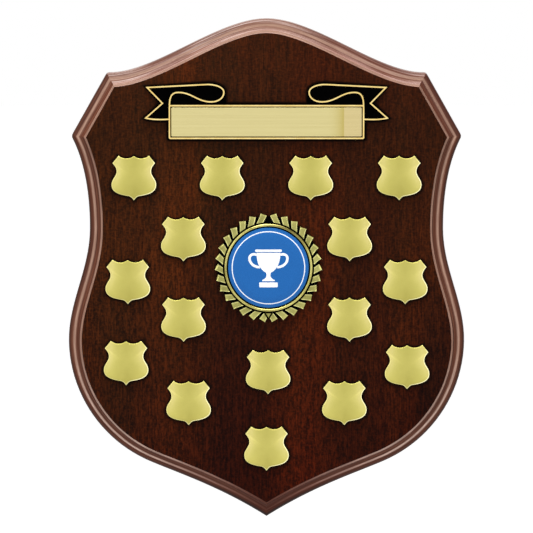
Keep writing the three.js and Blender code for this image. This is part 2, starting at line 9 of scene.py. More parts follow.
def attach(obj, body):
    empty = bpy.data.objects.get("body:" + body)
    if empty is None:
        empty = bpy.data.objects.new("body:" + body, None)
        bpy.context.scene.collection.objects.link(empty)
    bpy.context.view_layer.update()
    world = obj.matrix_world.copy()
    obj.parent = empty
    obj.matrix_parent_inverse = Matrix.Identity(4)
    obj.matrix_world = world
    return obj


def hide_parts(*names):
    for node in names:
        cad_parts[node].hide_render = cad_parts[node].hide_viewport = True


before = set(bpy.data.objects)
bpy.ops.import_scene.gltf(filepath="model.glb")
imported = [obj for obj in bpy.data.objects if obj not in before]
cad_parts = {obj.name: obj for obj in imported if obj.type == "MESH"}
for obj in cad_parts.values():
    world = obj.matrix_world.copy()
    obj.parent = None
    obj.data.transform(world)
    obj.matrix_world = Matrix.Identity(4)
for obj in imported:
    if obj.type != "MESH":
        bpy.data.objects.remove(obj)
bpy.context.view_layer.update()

MM = 0.001
PER_MM = 1 / MM

# Board. A fine curve swings a hair wider than a faceted one, so it is drawn narrower by the sag.
board_height = 310
board_width = 245.5
facet_sag = 0.07
corner_softness = 1.8
corner_crowding = 0.9
veneer = 0.6
veneer_arris = 0.12
core_front = 14.4
board_front = 15
bead_radius = 3
ledge_width = 1
cove_radius = 3
lip_width = 1.3
lip_rise = 0.5
lip_step = 0.9
arris = 0.5
edge_round = 0.22
side_wall_stops = (3, 5)
ledge_highlight_share = 0.65
lip_highlight_share = 0.55
moulding_width = bead_radius + ledge_width + cove_radius + lip_width
pad = 1
metal_back = board_front + pad

# Yearly shields
year_size = 27.6
year_edge = 0.9
year_arris = 0.1
year_rim_width = 0.5
year_rim_rise = 0.07
year_rim_slope = 0.3
year_field_lift = 0.02
year_dome = 0.45
year_field_rings = 14

# Ribbon and title
ribbon_half_width = 74.3
ribbon_rise = 33.2
ribbon_thickness = 1.2
ribbon_margin = 0.8
ribbon_corner = 1
ribbon_arris = 0.15
ribbon_foot_share = 0.529
foot_z = ribbon_foot_share * board_height / 2
gilt_line_width = 1
gilt_line_height = 0.5
title_width = 119.4
title_side = title_width / 2
title_height = 20.1
title_corner = 0.6
title_line_width = 1.1
title_line_height = 0.55
title_gap = 0.6
title_thickness = 0.55
title_bevel = 0.06
title_band_x = 47.6
title_band_fade = 12

# Wreath and disc
wreath_x_share = 0.0098
wreath_z_share = 0.0123
wreath_x = wreath_x_share * board_width / 2
wreath_z = wreath_z_share * board_height / 2
wreath_place = (wreath_x, -metal_back, wreath_z)
disc_radius = 24.85
disc_thickness = 1.5
disc_bevel = 0.3
disc_round_share = 0.3
disc_flat_share = 0.7
disc_gap = 0.75
tape_thickness = 0.3
printed_ring_radius = 22.4
print_height = 0.04
print_sink = 0.01
bezel_width = 1.7
bezel_height = 3
bezel_inner = disc_radius + disc_gap
bezel_outer = bezel_inner + bezel_width
recess_floor = 0.8
recess_ramp = 0.3
recess_ramp_rise = 0.1
recess_lip = 0.4
disc_back = metal_back + recess_floor + tape_thickness
groove_width = 0.7
wreath_base_radius = 31.8
wreath_base_height = 1.1
wreath_base_arris = 0.15
leaf_inner = bezel_outer + groove_width
leaf_foot_gap = 0.2
leaf_foot = leaf_inner + leaf_foot_gap
leaf_start_share = -0.45
leaf_bow = 0.07
leaf_reach = 5
leaf_side_reach = 4.2
leaf_width = 4.1
leaf_root_width = 3.2
leaf_ridge_height = 2.5
leaf_sweep = 3
leaf_first_angle = 5.2
leaf_gap = 0.8
leaf_pairs = 15
leaf_steps = 14
bud_gap = 0.1
bud_top = -leaf_inner - bud_gap
bud_half_width = 2.1
bud_length = 3.4
bud_height = 2.3
bud_shoulder_share = 0.8
bud_crown_share = 0.25
bud_clearance_share = 0.6

# Hanger
hanger_drop = 37
hanger_z = board_height / 2 - hanger_drop
hanger_width = 16
hanger_height = 42
hanger_thickness = 1.5
hanger_arris = 0.15
hanger_clearance = 0.3
entry_radius = 4.5
slot_radius = 2.25
entry_drop = 4
slot_rise = 10
entry_z = hanger_z - entry_drop
slot_top_z = entry_z + slot_rise
pocket_margin = 2
pocket_depth = 8
screw_spacing = 32
screw_places = (hanger_z + screw_spacing / 2, hanger_z - screw_spacing / 2)
screw_head_radius = 2.9
screw_shank_radius = 1.5
screw_head_depth = 1.3
screw_length = 10
screw_rim = 0.1
screw_turns = 16
thread_neck = 0.6
thread_run_out = 2
thread_start = screw_head_depth + thread_neck
thread_end = screw_length - thread_run_out
thread_root_share = 0.72
point_root_share = 0.7
point_length = 1.6
point_radius = 0.15
cross_arm = 1.5
cross_half_width = 0.4
cross_depth = 0.9
cross_floor_share = 0.6
pilot_spare = 1
pilot_depth = screw_length + pilot_spare

# Camera, floor and light, with lengths in metres and the sensor in millimetres
view_distance = 3.0
view_elevation = math.radians(6.4)
frame_width = 0.331
aim_above_origin = 0.00062
sensor_width = 36
floor_half = 14
floor_level = -1.0
floor_tone = 0.82
floor_glow = 0.65
room_light = 0.4


def lerp(a, b, t):
    return a + (b - a) * t


# Runs of points in the plane of the front: x to the right, z up, stored as 2D vectors
def bezier(a, b, c, d, steps=40):
    run = []
    for i in range(steps + 1):
        t = i / steps
        s = 1 - t
        run.append(a * s**3 + b * (3 * s * s * t) + c * (3 * s * t * t) + d * t**3)
    return run


def chain(*runs):
    joined = list(runs[0])
    for run in runs[1:]:
        joined += run[1:]
    return joined


# Curves from one named point to another, through names that take turns: end, handle, handle, end
def curves(at, start, end, steps=40):
    names = list(at)
    run = [at[name] for name in names[names.index(start) : names.index(end) + 1]]
    return chain(*(bezier(*run[i : i + 4], steps) for i in range(0, len(run) - 1, 3)))


def share_points(shares, half_width, half_height):
    return {name: Vector((x * half_width, z * half_height)) for name, (x, z) in shares.items()}


# From a start angle to an end angle in degrees, anticlockwise from the right
def arc(centre, radius, start, end, steps):
    turn = [math.radians(lerp(start, end, i / steps)) for i in range(steps + 1)]
    return [Vector((centre[0] + radius * math.cos(a), centre[1] + radius * math.sin(a))) for a in turn]


def circle(radius, segments, centre=(0, 0)):
    return arc(centre, radius, 90, -270, segments)[:-1]


def rounded_rectangle(width, height, corner, steps=5, centre_z=0):
    points = []
    for turn, (side_x, side_z) in enumerate([(1, 1), (1, -1), (-1, -1), (-1, 1)]):
        centre = (side_x * (width / 2 - corner), centre_z + side_z * (height / 2 - corner))
        points += arc(centre, corner, 90 - 90 * turn, -90 * turn, steps)
    return points


def stadium(radius, low, high, steps=12):
    return rounded_rectangle(radius * 2, high - low + radius * 2, radius, steps, (high + low) / 2)


def mirrored(run):
    return [Vector((-p.x, p.y)) for p in reversed(run)]


# How far along a run each of its points lies
def distances(run):
    walked = [0.0]
    for a, b in zip(run, run[1:]):
        walked.append(walked[-1] + math.dist(a, b))
    return walked


def resampled(run, count, ease=None):
    lengths = distances(run)
    points = []
    k = 0
    for i in range(count + 1):
        at = lengths[-1] * (ease(i / count) if ease else i / count)
        while k + 2 < len(lengths) and lengths[k + 1] < at:
            k += 1
        span = lengths[k + 1] - lengths[k]
        points.append(run[k].lerp(run[k + 1], min(1, (at - lengths[k]) / span) if span else 0))
    return points


def point_along(run, reach):
    for a, b in zip(run, run[1:]):
        step = (b - a).length
        if step >= reach:
            return a.lerp(b, reach / step)
        reach -= step
    return run[-1]


# A run moved to its right, by a distance for each point
def shifted(run, reaches):
    moved = []
    for i, (p, reach) in enumerate(zip(run, reaches)):
        along = (run[min(i + 1, len(run) - 1)] - run[max(i - 1, 0)]).normalized()
        moved.append(Vector((p.x + along.y * reach, p.y - along.x * reach)))
    return moved


def crossing(a, b, c, d):
    first, second, gap = b - a, d - c, c - a
    across = first.x * second.y - first.y * second.x
    if across == 0:
        return None
    along = (gap.x * second.y - gap.y * second.x) / across
    beside = (gap.x * first.y - gap.y * first.x) / across
    return a.lerp(b, along) if 0 <= along <= 1 and 0 <= beside <= 1 else None


# Where a run first meets the one that follows it, and the last and first points that are kept
def mitre(run, following):
    for i in range(len(run) - 2, -1, -1):
        for j in range(len(following) - 1):
            point = crossing(run[i], run[i + 1], following[j], following[j + 1])
            if point:
                return point, i, j + 1
    return run[-1], len(run) - 2, 1


def inset(sides, distance):
    if distance == 0:
        return sides
    runs = [shifted(side, [distance] * len(side)) for side in sides]
    corners = [mitre(run, runs[(i + 1) % len(runs)]) for i, run in enumerate(runs)]
    moved = []
    for i, run in enumerate(runs):
        start, end = corners[i - 1], corners[i]
        moved.append([start[0], *run[start[2] : end[1] + 1], end[0]])
    return moved


# A run moved to its right with mitred corners, which reach out no further than the limit
def offset_run(run, distance, limit=3):
    moved = []
    for i, p in enumerate(run):
        before = (p - run[i - 1]).normalized() if i else None
        after = (run[i + 1] - p).normalized() if i + 1 < len(run) else None
        first, second = before or after, after or before
        across = Vector((first.y + second.y, -(first.x + second.x))).normalized()
        stretch = min(limit, 1 / max(1e-6, abs(across.x * first.y - across.y * first.x)))
        moved.append(p + across * distance * stretch)
    return moved


def closed_offset(points, distance):
    return offset_run([points[-1], *points, points[0]], distance, limit=1.6)[1:-1]


# Rings of a plate whose front arris is rounded; outline_at gives its outline at an inset
def plate_rings(outline_at, back, front, arris, *stops):
    rings = [(outline_at(0), back), (outline_at(0), front - arris)]
    rings += [(outline_at(arris * inward), front - arris * down) for inward, down in stops]
    return [*rings, (outline_at(arris), front)]


# Rings of a turned piece, from its radii and heights
def turned(shape, segments):
    return [(circle(radius, segments), height) for radius, height in shape]


def linked(name, data, place=(0, 0, 0)):
    obj = bpy.data.objects.new(name, data)
    bpy.context.scene.collection.objects.link(obj)
    obj.location = place
    return obj


# A mesh in the making. Rings are clockwise as seen from the front, with one height or a list.
# A mark is kept as the second UV of a ring's points, for a material to read.
class Form:
    def __init__(self):
        self.points = []
        self.faces = []
        self.slots = []
        self.uvs = {}

    def ring(self, points, heights, mark=None):
        if not isinstance(heights, list):
            heights = [heights] * len(points)
        start = len(self.points)
        self.points += [(p.x, -height, p.y) for p, height in zip(points, heights)]
        made = list(range(start, len(self.points)))
        if mark is not None:
            self.uvs.update((index, (0, mark)) for index in made)
        return made

    def face(self, corners, slot=0):
        self.faces.append(corners)
        self.slots.append(slot)

    def wall(self, back, front, closed=True, slot=0):
        count = len(back)
        for i in range(count if closed else count - 1):
            j = (i + 1) % count
            self.face((back[i], front[i], front[j], back[j]), slot)

    def cap(self, outer, holes=(), front=True, slot=0):
        rings = (outer, *holes)
        loops = [[Vector((self.points[i][0], self.points[i][2], 0)) for i in ring] for ring in rings]
        index = [i for ring in rings for i in ring]
        flat = [p for loop in loops for p in loop]
        for a, b, c in tessellate_polygon(loops):
            turn = (flat[b] - flat[a]).cross(flat[c] - flat[a]).z
            if abs(turn) < 1e-9:
                continue
            keep = (turn > 0) == front
            corners = (index[a], index[b], index[c]) if keep else (index[a], index[c], index[b])
            self.face(corners, slot)

    # Walls through rings of points, heights and marks, from one that is there already if given
    def extend(self, rings, last=None):
        made = [last] if last else []
        made += [self.ring(*ring) for ring in rings]
        for a, b in zip(made, made[1:]):
            self.wall(a, b)
        return made

    def loft(self, rings, front=True):
        made = self.extend(rings)
        self.cap(made[0], front=False)
        if front:
            self.cap(made[-1])
        return made

    # A hollow sunk from behind. Its mouth is returned, as a hole for the face round it.
    def hollow(self, mouth, floor, holes=(), slot=0):
        mouth, floor = self.ring(*mouth), self.ring(*floor)
        self.wall(floor, mouth, slot=slot)
        self.cap(floor, holes, front=False, slot=slot)
        return mouth

    def sweep(self, rails, closed=False):
        made = [self.ring(*rail) for rail in rails]
        size, stations = len(made), len(made[0])
        for i in range(stations if closed else stations - 1):
            j = (i + 1) % stations
            for k in range(size):
                n = (k + 1) % size
                self.face((made[k][i], made[k][j], made[n][j], made[n][i]))
        if not closed:
            self.face([rail[0] for rail in made])
            self.face([rail[-1] for rail in reversed(made)])

    def build(self, name, *materials, sharp=32, place=(0, 0, 0)):
        mesh = bpy.data.meshes.new(name)
        mesh.from_pydata([tuple(MM * c for c in p) for p in self.points], [], self.faces)
        for material in materials:
            mesh.materials.append(material)
        mesh.polygons.foreach_set("material_index", self.slots)
        if self.uvs:
            layer = mesh.uv_layers.new(name="grain")
            for loop in mesh.loops:
                layer.data[loop.index].uv = self.uvs.get(loop.vertex_index, (0, 0))
        mesh.validate()
        mesh.shade_smooth()
        mesh.set_sharp_from_angle(angle=math.radians(sharp))
        return linked(name, mesh, [MM * c for c in place])


def dressed(obj, slot_name, *nodes):
    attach(obj, "root")
    if nodes:
        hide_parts(*nodes)


# Links each input of a node to a socket, or sets its value
def wire(tree, node, inputs):
    for key, value in inputs.items():
        if isinstance(value, bpy.types.NodeSocket):
            tree.links.new(value, node.inputs[key])
        else:
            node.inputs[key].default_value = value


def new_node(tree, kind, inputs=None, **settings):
    made = tree.nodes.new("ShaderNode" + kind)
    for key, value in settings.items():
        setattr(made, key, value)
    wire(tree, made, inputs or {})
    return made


# A material in the making. Its tone is the colour so far, and each layer goes over it.
class Look:
    def __init__(self, name, metallic=0.0, specular=0.5, coat=0.0, coat_roughness=0.1):
        self.material = bpy.data.materials.new(name)
        self.material.use_nodes = True
        self.tree = self.material.node_tree
        self.shader = self.tree.nodes["Principled BSDF"]
        gloss = {"Specular IOR Level": specular, "Coat Weight": coat, "Coat Roughness": coat_roughness}
        wire(self.tree, self.shader, {"Metallic": metallic, **gloss})

    def node(self, kind, inputs=None, **settings):
        return new_node(self.tree, kind, inputs, **settings)

    # The point on the surface, in the object's millimetres or in its UVs, times a scale
    def place(self, scale, uv=False):
        if uv:
            point = self.node("UVMap", uv_map="grain").outputs["UV"]
        else:
            point = self.node("TexCoord").outputs["Object"]
            scale = [c * PER_MM for c in scale]
        return self.node("Mapping", {"Vector": point, "Scale": scale}).outputs["Vector"]

    def parts(self, uv=False):
        return self.node("SeparateXYZ", {"Vector": self.place((1, 1, 1), uv)}).outputs

    def noise(self, scale, detail, roughness, distortion=0.0, uv=False):
        keys = {"Vector": self.place(scale, uv), "Scale": 1.0, "Detail": detail}
        keys.update({"Roughness": roughness, "Distortion": distortion})
        return self.node("TexNoise", keys).outputs["Fac"]

    def fit(self, value, low, high, to_low=0.0, to_high=1.0):
        keys = {"Value": value, "From Min": low, "From Max": high, "To Min": to_low, "To Max": to_high}
        return self.node("MapRange", keys).outputs["Result"]

    def math(self, operation, a, b=0.0):
        return self.node("Math", {0: a, 1: b}, operation=operation).outputs[0]

    def times(self, *values):
        return reduce(lambda a, b: self.math("MULTIPLY", a, b), values)

    def plus(self, *values):
        return reduce(lambda a, b: self.math("ADD", a, b), values)

    def apart(self, a, b):
        return self.math("ABSOLUTE", self.math("SUBTRACT", a, b))

    # Stops are places from 0 to 1 and their colours
    def ramp(self, value, stops):
        made = self.node("ValToRGB", {"Fac": value})
        elements = made.color_ramp.elements
        while len(elements) < len(stops):
            elements.new(0.5)
        for element, (at, colour) in zip(elements, stops.items()):
            element.position = at
            element.color = (*colour, 1)
        return made.outputs["Color"]

    def mix(self, factor, a, b, blend="MIX"):
        a, b = (c if isinstance(c, bpy.types.NodeSocket) else (*c, 1) for c in (a, b))
        return self.node("Mix", {0: factor, 6: a, 7: b}, data_type="RGBA", blend_type=blend).outputs[2]

    def over(self, factor, red, green, blue):
        self.tone = self.mix(factor, self.tone, srgb(red, green, blue))

    def tint(self, colour, factor=1.0):
        self.tone = self.mix(factor, self.tone, colour, "MULTIPLY")

    def finished(self, roughness, relief, strength, depth):
        bump = self.node("Bump", {"Height": relief, "Strength": strength, "Distance": depth * MM})
        normal = bump.outputs["Normal"]
        wire(self.tree, self.shader, {"Base Color": self.tone, "Roughness": roughness, "Normal": normal})
        return self.material


def srgb(red, green, blue):
    shares = (red / 255, green / 255, blue / 255)
    return tuple(c / 12.92 if c <= 0.04045 else ((c + 0.055) / 1.055) ** 2.4 for c in shares)


# Broad stripes of the veneer: middle, half width, tint, and the heights where it is absent and full
veneer_stripes = [
    (-61, 15, (1.45, 1.32, 1.1), -50, 20),
    (-18, 32, (0.58, 0.55, 0.78), 90, -10),
    (22, 23, (1.32, 1.06, 0.97), 160, 60),
    (56, 24, (0.72, 0.74, 0.86), 80, 10),
    (-92, 24, (0.74, 0.86, 0.98), 0, -50),
    (108, 18, (0.58, 0.66, 0.88), 0, -50),
    (95, 16, (0.64, 0.6, 0.7), -60, -95),
]


# Dark stained veneer with upright grain: broad stripes, flecks, fine fibres, pores and a faint
# cross figure. It is redder and darker at the foot, and a painted shadow darkens it round the metal pieces.
def veneer_look():
    look = Look("dark_veneer", specular=0.03)
    broad = look.noise((0.045, 0.05, 0.0035), 3, 0.55, 0.5)
    stripe = look.noise((0.3, 0.3, 0.012), 4, 0.62)
    long_fleck = look.noise((0.95, 0.95, 0.09), 3, 0.6)
    short_fleck = look.noise((0.9, 0.9, 0.36), 3, 0.65)
    fibre = look.noise((2.4, 2.6, 0.05), 4, 0.62)
    figure = look.noise((0.45, 0.4, 0.9), 3, 0.62, 0.3)
    pores = look.fit(look.noise((4.6, 5.5, 0.22), 2, 0.5), 0.58, 0.7)
    at = look.parts()
    redder = look.plus(
        look.fit(at["X"], -110, 110, -0.35, 0.3),
        look.fit(at["Z"], -150, 150, 0.4, -0.5),
        look.fit(broad, 0.3, 0.7, -0.55, 0.55),
    )
    tones = {0.0: srgb(57, 35, 19), 0.5: srgb(60, 30, 16), 1.0: srgb(66, 26, 15)}
    look.tone = look.ramp(look.fit(redder, -0.75, 0.75), tones)
    look.over(look.fit(stripe, 0.42, 0.64, 0, 0.45), 84, 41, 19)
    look.over(look.fit(stripe, 0.46, 0.3, 0, 0.5), 38, 20, 12)
    lively = look.fit(at["Z"], 140, -90, 0.45, 1)
    for fleck in (long_fleck, short_fleck):
        look.over(look.times(look.fit(fleck, 0.5, 0.68, 0, 0.85), lively), 104, 51, 24)
        look.over(look.times(look.fit(fleck, 0.49, 0.33, 0, 0.8), lively), 26, 12, 8)
    look.over(look.fit(fibre, 0.45, 0.66, 0, 0.6), 36, 18, 11)
    look.over(look.fit(figure, 0.5, 0.68, 0, 0.55), 96, 47, 22)
    look.over(look.fit(figure, 0.46, 0.34, 0, 0.4), 36, 18, 11)
    look.over(look.times(pores, 0.7), 20, 9, 6)
    fall = {0.0: (0.47, 0.29, 0.27), 0.5: (0.6, 0.52, 0.42), 0.8: (0.46, 0.44, 0.39), 1.0: (0.6, 0.5, 0.45)}
    look.tint(look.ramp(look.fit(at["Z"], -130, 135), fall))
    look.tint(look.mix(look.fit(at["X"], -100, 60), (1.16, 1.24, 1.14), (1.0, 0.98, 0.97)))
    sway = look.fit(look.noise((0.08, 0.08, 0.012), 3, 0.6), 0.3, 0.7, -6, 6)
    lean = look.fit(at["Z"], -20, 45, 0, -9)
    swayed = look.plus(at["X"], sway, lean)
    for middle, half_width, colour, absent, full in veneer_stripes:
        beside = look.fit(look.apart(swayed, middle), half_width, half_width * 0.35)
        shown = look.times(beside, look.fit(at["Z"], absent, full))
        look.tint(look.mix(shown, (1, 1, 1), colour))
    # painted shadow round the shields and the ribbon, darkest next to them
    look.over(look.fit(look.parts(uv=True)["Y"], 0, 1, 0, 0.95), 9, 4, 2)
    relief = look.math("SUBTRACT", look.times(fibre, 0.4), pores)
    return look.finished(look.fit(fibre, 0.3, 0.7, 0.42, 0.58), relief, 0.35, 0.05)


# Stained moulding whose grain runs along each side. The arch at the top carries painted light from above, in
# pale and dark streaks, the outer bead carries painted shade, most of all at the tip, and the ledge and the
# lip carry painted highlights.
def moulding_look():
    look = Look("stained_moulding", specular=0.08, coat=0.03, coat_roughness=0.24)
    streak = look.noise((0.02, 1.6, 1), 4, 0.6, 0.2, uv=True)
    fine = look.noise((0.07, 2.8, 1), 4, 0.65, uv=True)
    patch = look.noise((0.035, 0.12, 1), 2, 0.5, uv=True)
    band = look.noise((0.014, 1.25, 1), 3, 0.65, uv=True)
    run = look.parts(uv=True)
    across = look.math("MODULO", run["Y"], SIDE_STEP)
    at = look.parts()
    height = at["Z"]
    tones = {0.34: srgb(60, 30, 20), 0.48: srgb(88, 49, 35), 0.6: srgb(113, 72, 55), 0.7: srgb(84, 46, 33)}
    look.tone = look.ramp(streak, tones)
    look.over(look.fit(fine, 0.5, 0.72, 0, 0.4), 58, 26, 15)
    look.over(look.fit(patch, 0.4, 0.7, 0, 0.3), 104, 54, 36)
    # painted shade on the outer bead, which faces out to the side
    look.over(look.fit(across, LEDGE_AT - 3.2, LEDGE_AT - 1, 0.75, 0), 50, 22, 14)
    # painted shade towards the tip, deepest on the outer bead
    look.over(look.fit(height, -110, -150, 0, 0.7), 60, 22, 13)
    outer = look.fit(across, LEDGE_AT - 1.2, LEDGE_AT - 2.4)
    look.over(look.times(look.fit(height, -118, -146), outer, 0.85), 24, 8, 5)
    ear_start, ear_end = SIDE_RUN, SIDE_RUN + 100
    right_ear = look.times(
        look.fit(run["X"], ear_start - 10, ear_start),
        look.fit(run["X"], ear_end, ear_end + 10, 1, 0),
    )
    look.over(look.times(right_ear, 0.4), 56, 24, 18)
    # painted light on the arch at the top, which faces up, broken into pale and dark grain streaks, with
    # painted shade on its outer bead
    arch = look.fit(run["X"], ARCH_LIMIT, ARCH_LIMIT + 10, 1, 0)
    look.over(look.times(arch, look.fit(streak, 0.38, 0.62, 0.2, 0.6)), 156, 124, 110)
    look.over(look.times(arch, look.fit(band, 0.5, 0.62, 0, 0.75)), 200, 180, 174)
    look.over(look.times(arch, look.fit(band, 0.46, 0.36, 0, 0.5)), 120, 72, 50)
    look.over(look.times(arch, look.fit(across, LEDGE_AT - 3.2, LEDGE_AT - 1.2, 0.35, 0)), 74, 38, 26)
    # patches of the arch that are darker and redder, one on the right and one on the left
    right = look.times(look.fit(at["X"], 10, 40), look.fit(at["X"], 72, 100, 1, 0.4))
    left = look.fit(look.apart(at["X"], -63), 20, 8, 0, 0.8)
    kept = look.times(look.math("MAXIMUM", right, left), look.fit(across, LEDGE_AT - 2, LEDGE_AT, 1, 0.75))
    look.tint((0.52, 0.34, 0.29), look.times(arch, kept))
    # painted highlights on the ledge and the lip, fading out towards the tip
    off_ledge = look.times(look.apart(across, LEDGE_AT), look.fit(height, -60, -115, 1, 1.45))
    lip = look.times(look.fit(look.apart(across, LIP_AT), 0.8, 0.4), look.fit(height, -80, -130, 0.85, 0.7))
    painted_highlight = look.times(
        look.math("MAXIMUM", look.fit(off_ledge, 1.15, 0.3), lip),
        look.fit(fine, 0.38, 0.62, 1, 0.5),
        look.fit(height, -118, -148, 1, 0.1),
        look.fit(right_ear, 0, 1, 1, 0.75),
    )
    # the colour of the painted highlights, paler lower down the flanks and duller at the tip
    painted_light = look.mix(look.fit(height, -50, -105), srgb(184, 148, 129), srgb(238, 206, 190))
    painted_light = look.mix(look.fit(height, -112, -140, 0, 0.8), painted_light, srgb(186, 118, 100))
    look.tone = look.mix(painted_highlight, look.tone, painted_light)
    return look.finished(look.fit(streak, 0.3, 0.7, 0.24, 0.38), fine, 0.25, 0.04)


# Plain wood for the back
def back_look():
    look = Look("back_wood", specular=0.3)
    broad = look.noise((0.08, 0.08, 0.004), 3, 0.55, 0.4)
    fibre = look.noise((2.2, 2.2, 0.05), 4, 0.6)
    look.tone = look.ramp(broad, {0.3: srgb(88, 58, 42), 0.55: srgb(112, 76, 56), 0.75: srgb(96, 62, 44)})
    look.over(look.fit(fibre, 0.45, 0.7, 0, 0.5), 70, 44, 32)
    return look.finished(look.fit(fibre, 0.3, 0.7, 0.55, 0.75), fibre, 0.4, 0.08)


# A material with fine specks and two tones that take turns with them, or with a cloud of their
# own. A finish lays more tones over it.
def speckled_look(name, tones, grain, roughness, strength, depth, finish=None, cloud=None, **gloss):
    look = Look(name, **gloss)
    speck = look.noise(grain, 3, 0.6)
    shift = look.noise(cloud, 3, 0.5) if cloud else speck
    look.tone = look.mix(look.fit(shift, 0.35, 0.65), *tones)
    if finish:
        finish(look)
    return look.finished(look.fit(speck, 0.3, 0.7, *roughness), speck, strength, depth)


# Metal with cloudy tarnish
def metal_look(name, tones, grain, roughness, strength, finish=None):
    cloud = (0.11, 0.11, 0.09)
    return speckled_look(name, tones, grain, roughness, strength, 0.02, finish, cloud, metallic=1.0)


# Leaves are dull in the middle and carry a painted highlight along their rims
def painted_rim_highlights(look):
    look.over(look.fit(look.parts(uv=True)["Y"], 0.7, 0.84, 0, 0.8), 188, 185, 124)


# The bezel has painted shade towards the upper right, and less towards the left
def shaded_sides(look):
    at = look.parts()
    for x, z, amount, colour in ((0.5, 0.86, 0.75, (84, 72, 34)), (-0.95, -0.3, 0.4, (110, 98, 48))):
        toward = look.plus(look.times(at["X"], x), look.times(at["Z"], z))
        look.over(look.fit(toward, 21, 26.5, 0, amount), *colour)


# Yearly shields: painted light on the lobes, painted shade on the middle and foot, and a painted highlight
# along the rim on the right
def year_look():
    look = Look("gilt_shield", metallic=1.0)
    speck = look.noise((3.5, 3.5, 3.5), 3, 0.6)
    cloud = look.noise((0.12, 0.12, 0.09), 2, 0.5)
    at = look.parts()
    edge = look.parts(uv=True)["Y"]
    # painted light and shade: pale lobes at the sides, painted shade on the middle, the foot and the top
    side = look.times(look.math("POWER", at["X"], 2.0), look.fit(at["Z"], -9, 2, 0.4, 1))
    painted_light = look.plus(
        look.fit(side, 0, 85, 0.42, 1),
        look.fit(at["Z"], -12, 3, -0.45, 0),
        look.fit(at["Z"], 5, 13, 0, -0.1),
        look.fit(cloud, 0.35, 0.65, -0.06, 0.06),
    )
    shaded_tones = {0.0: srgb(170, 161, 82), 0.45: srgb(191, 182, 98)}
    look.tone = look.ramp(painted_light, {**shaded_tones, 0.75: srgb(204, 194, 111), 1.0: srgb(214, 202, 126)})
    # a painted highlight along the rim, strongest on the right and absent at the top
    rim = look.fit(edge, 0.62, 0.3)
    painted_highlight = look.times(rim, look.fit(at["X"], -4, 11, 0.15, 0.9), look.fit(at["Z"], 11.5, 9))
    look.over(painted_highlight, 250, 243, 196)
    roughness = look.plus(look.fit(speck, 0.3, 0.7, 0.3, 0.4), look.fit(edge, 0.7, 0.3, 0, 0.16))
    return look.finished(roughness, speck, 0.12, 0.01)


# Title plate: metal brushed along its length, with a darker band that ends sharply on its right
def brushed_look():
    look = Look("brushed_gilt", metallic=1.0)
    line = look.noise((0.012, 1, 3.2), 4, 0.65)
    fine = look.noise((0.05, 1, 11), 2, 0.5)
    tones = {0.3: srgb(214, 202, 135), 0.5: srgb(221, 209, 142), 0.7: srgb(226, 215, 149)}
    look.tone = look.ramp(line, tones)
    across = look.parts()["X"]
    right = look.fit(across, title_band_x - 0.1, title_band_x + 0.3)
    look.tint(look.mix(right, (0.9, 0.89, 0.98), (0.88, 0.82, 0.93)))
    fading = look.math("POWER", look.fit(across, title_band_x - title_band_fade, title_band_x), 2.5)
    look.over(look.times(fading, look.fit(right, 0, 1, 1, 0)), 190, 172, 98)
    return look.finished(look.fit(fine, 0.3, 0.7, 0.27, 0.36), fine, 0.04, 0.01)


def enamel_look():
    look = Look("black_enamel", specular=0.004)
    cloud = look.noise((0.6, 0.6, 0.6), 3, 0.6)
    black = srgb(1, 1, 1)
    look.tone = look.mix(look.fit(cloud, 0.4, 0.7), black, [c * 1.5 + 0.0003 for c in black])
    return look.finished(look.fit(cloud, 0.3, 0.7, 0.2, 0.3125), cloud, 0.1, 0.02)


# The disc has a thin white ring printed on it
def printed_ring(look):
    away = look.node("VectorMath", {0: look.place((1, 0, 1))}, operation="LENGTH").outputs["Value"]
    look.over(look.fit(look.apart(away, printed_ring_radius), 0.35, 0.26), 236, 240, 246)


def foam_look():
    look = Look("pad_foam", specular=0.2)
    cell = look.node("TexVoronoi", {"Vector": look.place((3, 3, 3)), "Scale": 1.0}).outputs["Distance"]
    look.tone = look.mix(cell, srgb(206, 204, 196), srgb(226, 224, 218))
    return look.finished(0.95, cell, 0.5, 0.1)


# Board outline, in shares of half the width and half the height
board_shares = {
    "crown": (0, 1),
    "crown_handle": (0.25, 1),
    "shoulder_handle": (0.574, 0.775),
    "shoulder": (0.803, 0.785),
    "ear": (0.983, 0.533),
    "ear_handle": (0.961, 0.498),
    "waist_top_handle": (0.891, 0.391),
    "waist": (0.891, 0.168),
    "waist_low_handle": (0.891, 0.001),
    "lobe_top_handle": (1, -0.128),
    "lobe": (1, -0.286),
    "lobe_low_handle": (1, -0.487),
    "flank_top_handle": (0.851, -0.69),
    "flank": (0.585, -0.779),
    "flank_low_handle": (0.43, -0.831),
    "tip_handle": (0.235, -0.882),
    "tip": (0, -1),
}


def board_sides():
    at = share_points(board_shares, board_width / 2 - facet_sag, board_height / 2)
    arch = curves(at, "crown", "shoulder")
    chamfer = [at["shoulder"], at["ear"]]
    flank = curves(at, "ear", "tip")
    return [chain(mirrored(arch), arch), chamfer, flank, mirrored(flank), mirrored(chamfer)]


board_outline = board_sides()
board_counts = [96, 14, 130, 130, 14]


# Points crowd towards both ends of a side, so that a softened corner has enough of them
def eased(share):
    return share - corner_crowding * math.sin(2 * math.pi * share) / (2 * math.pi)


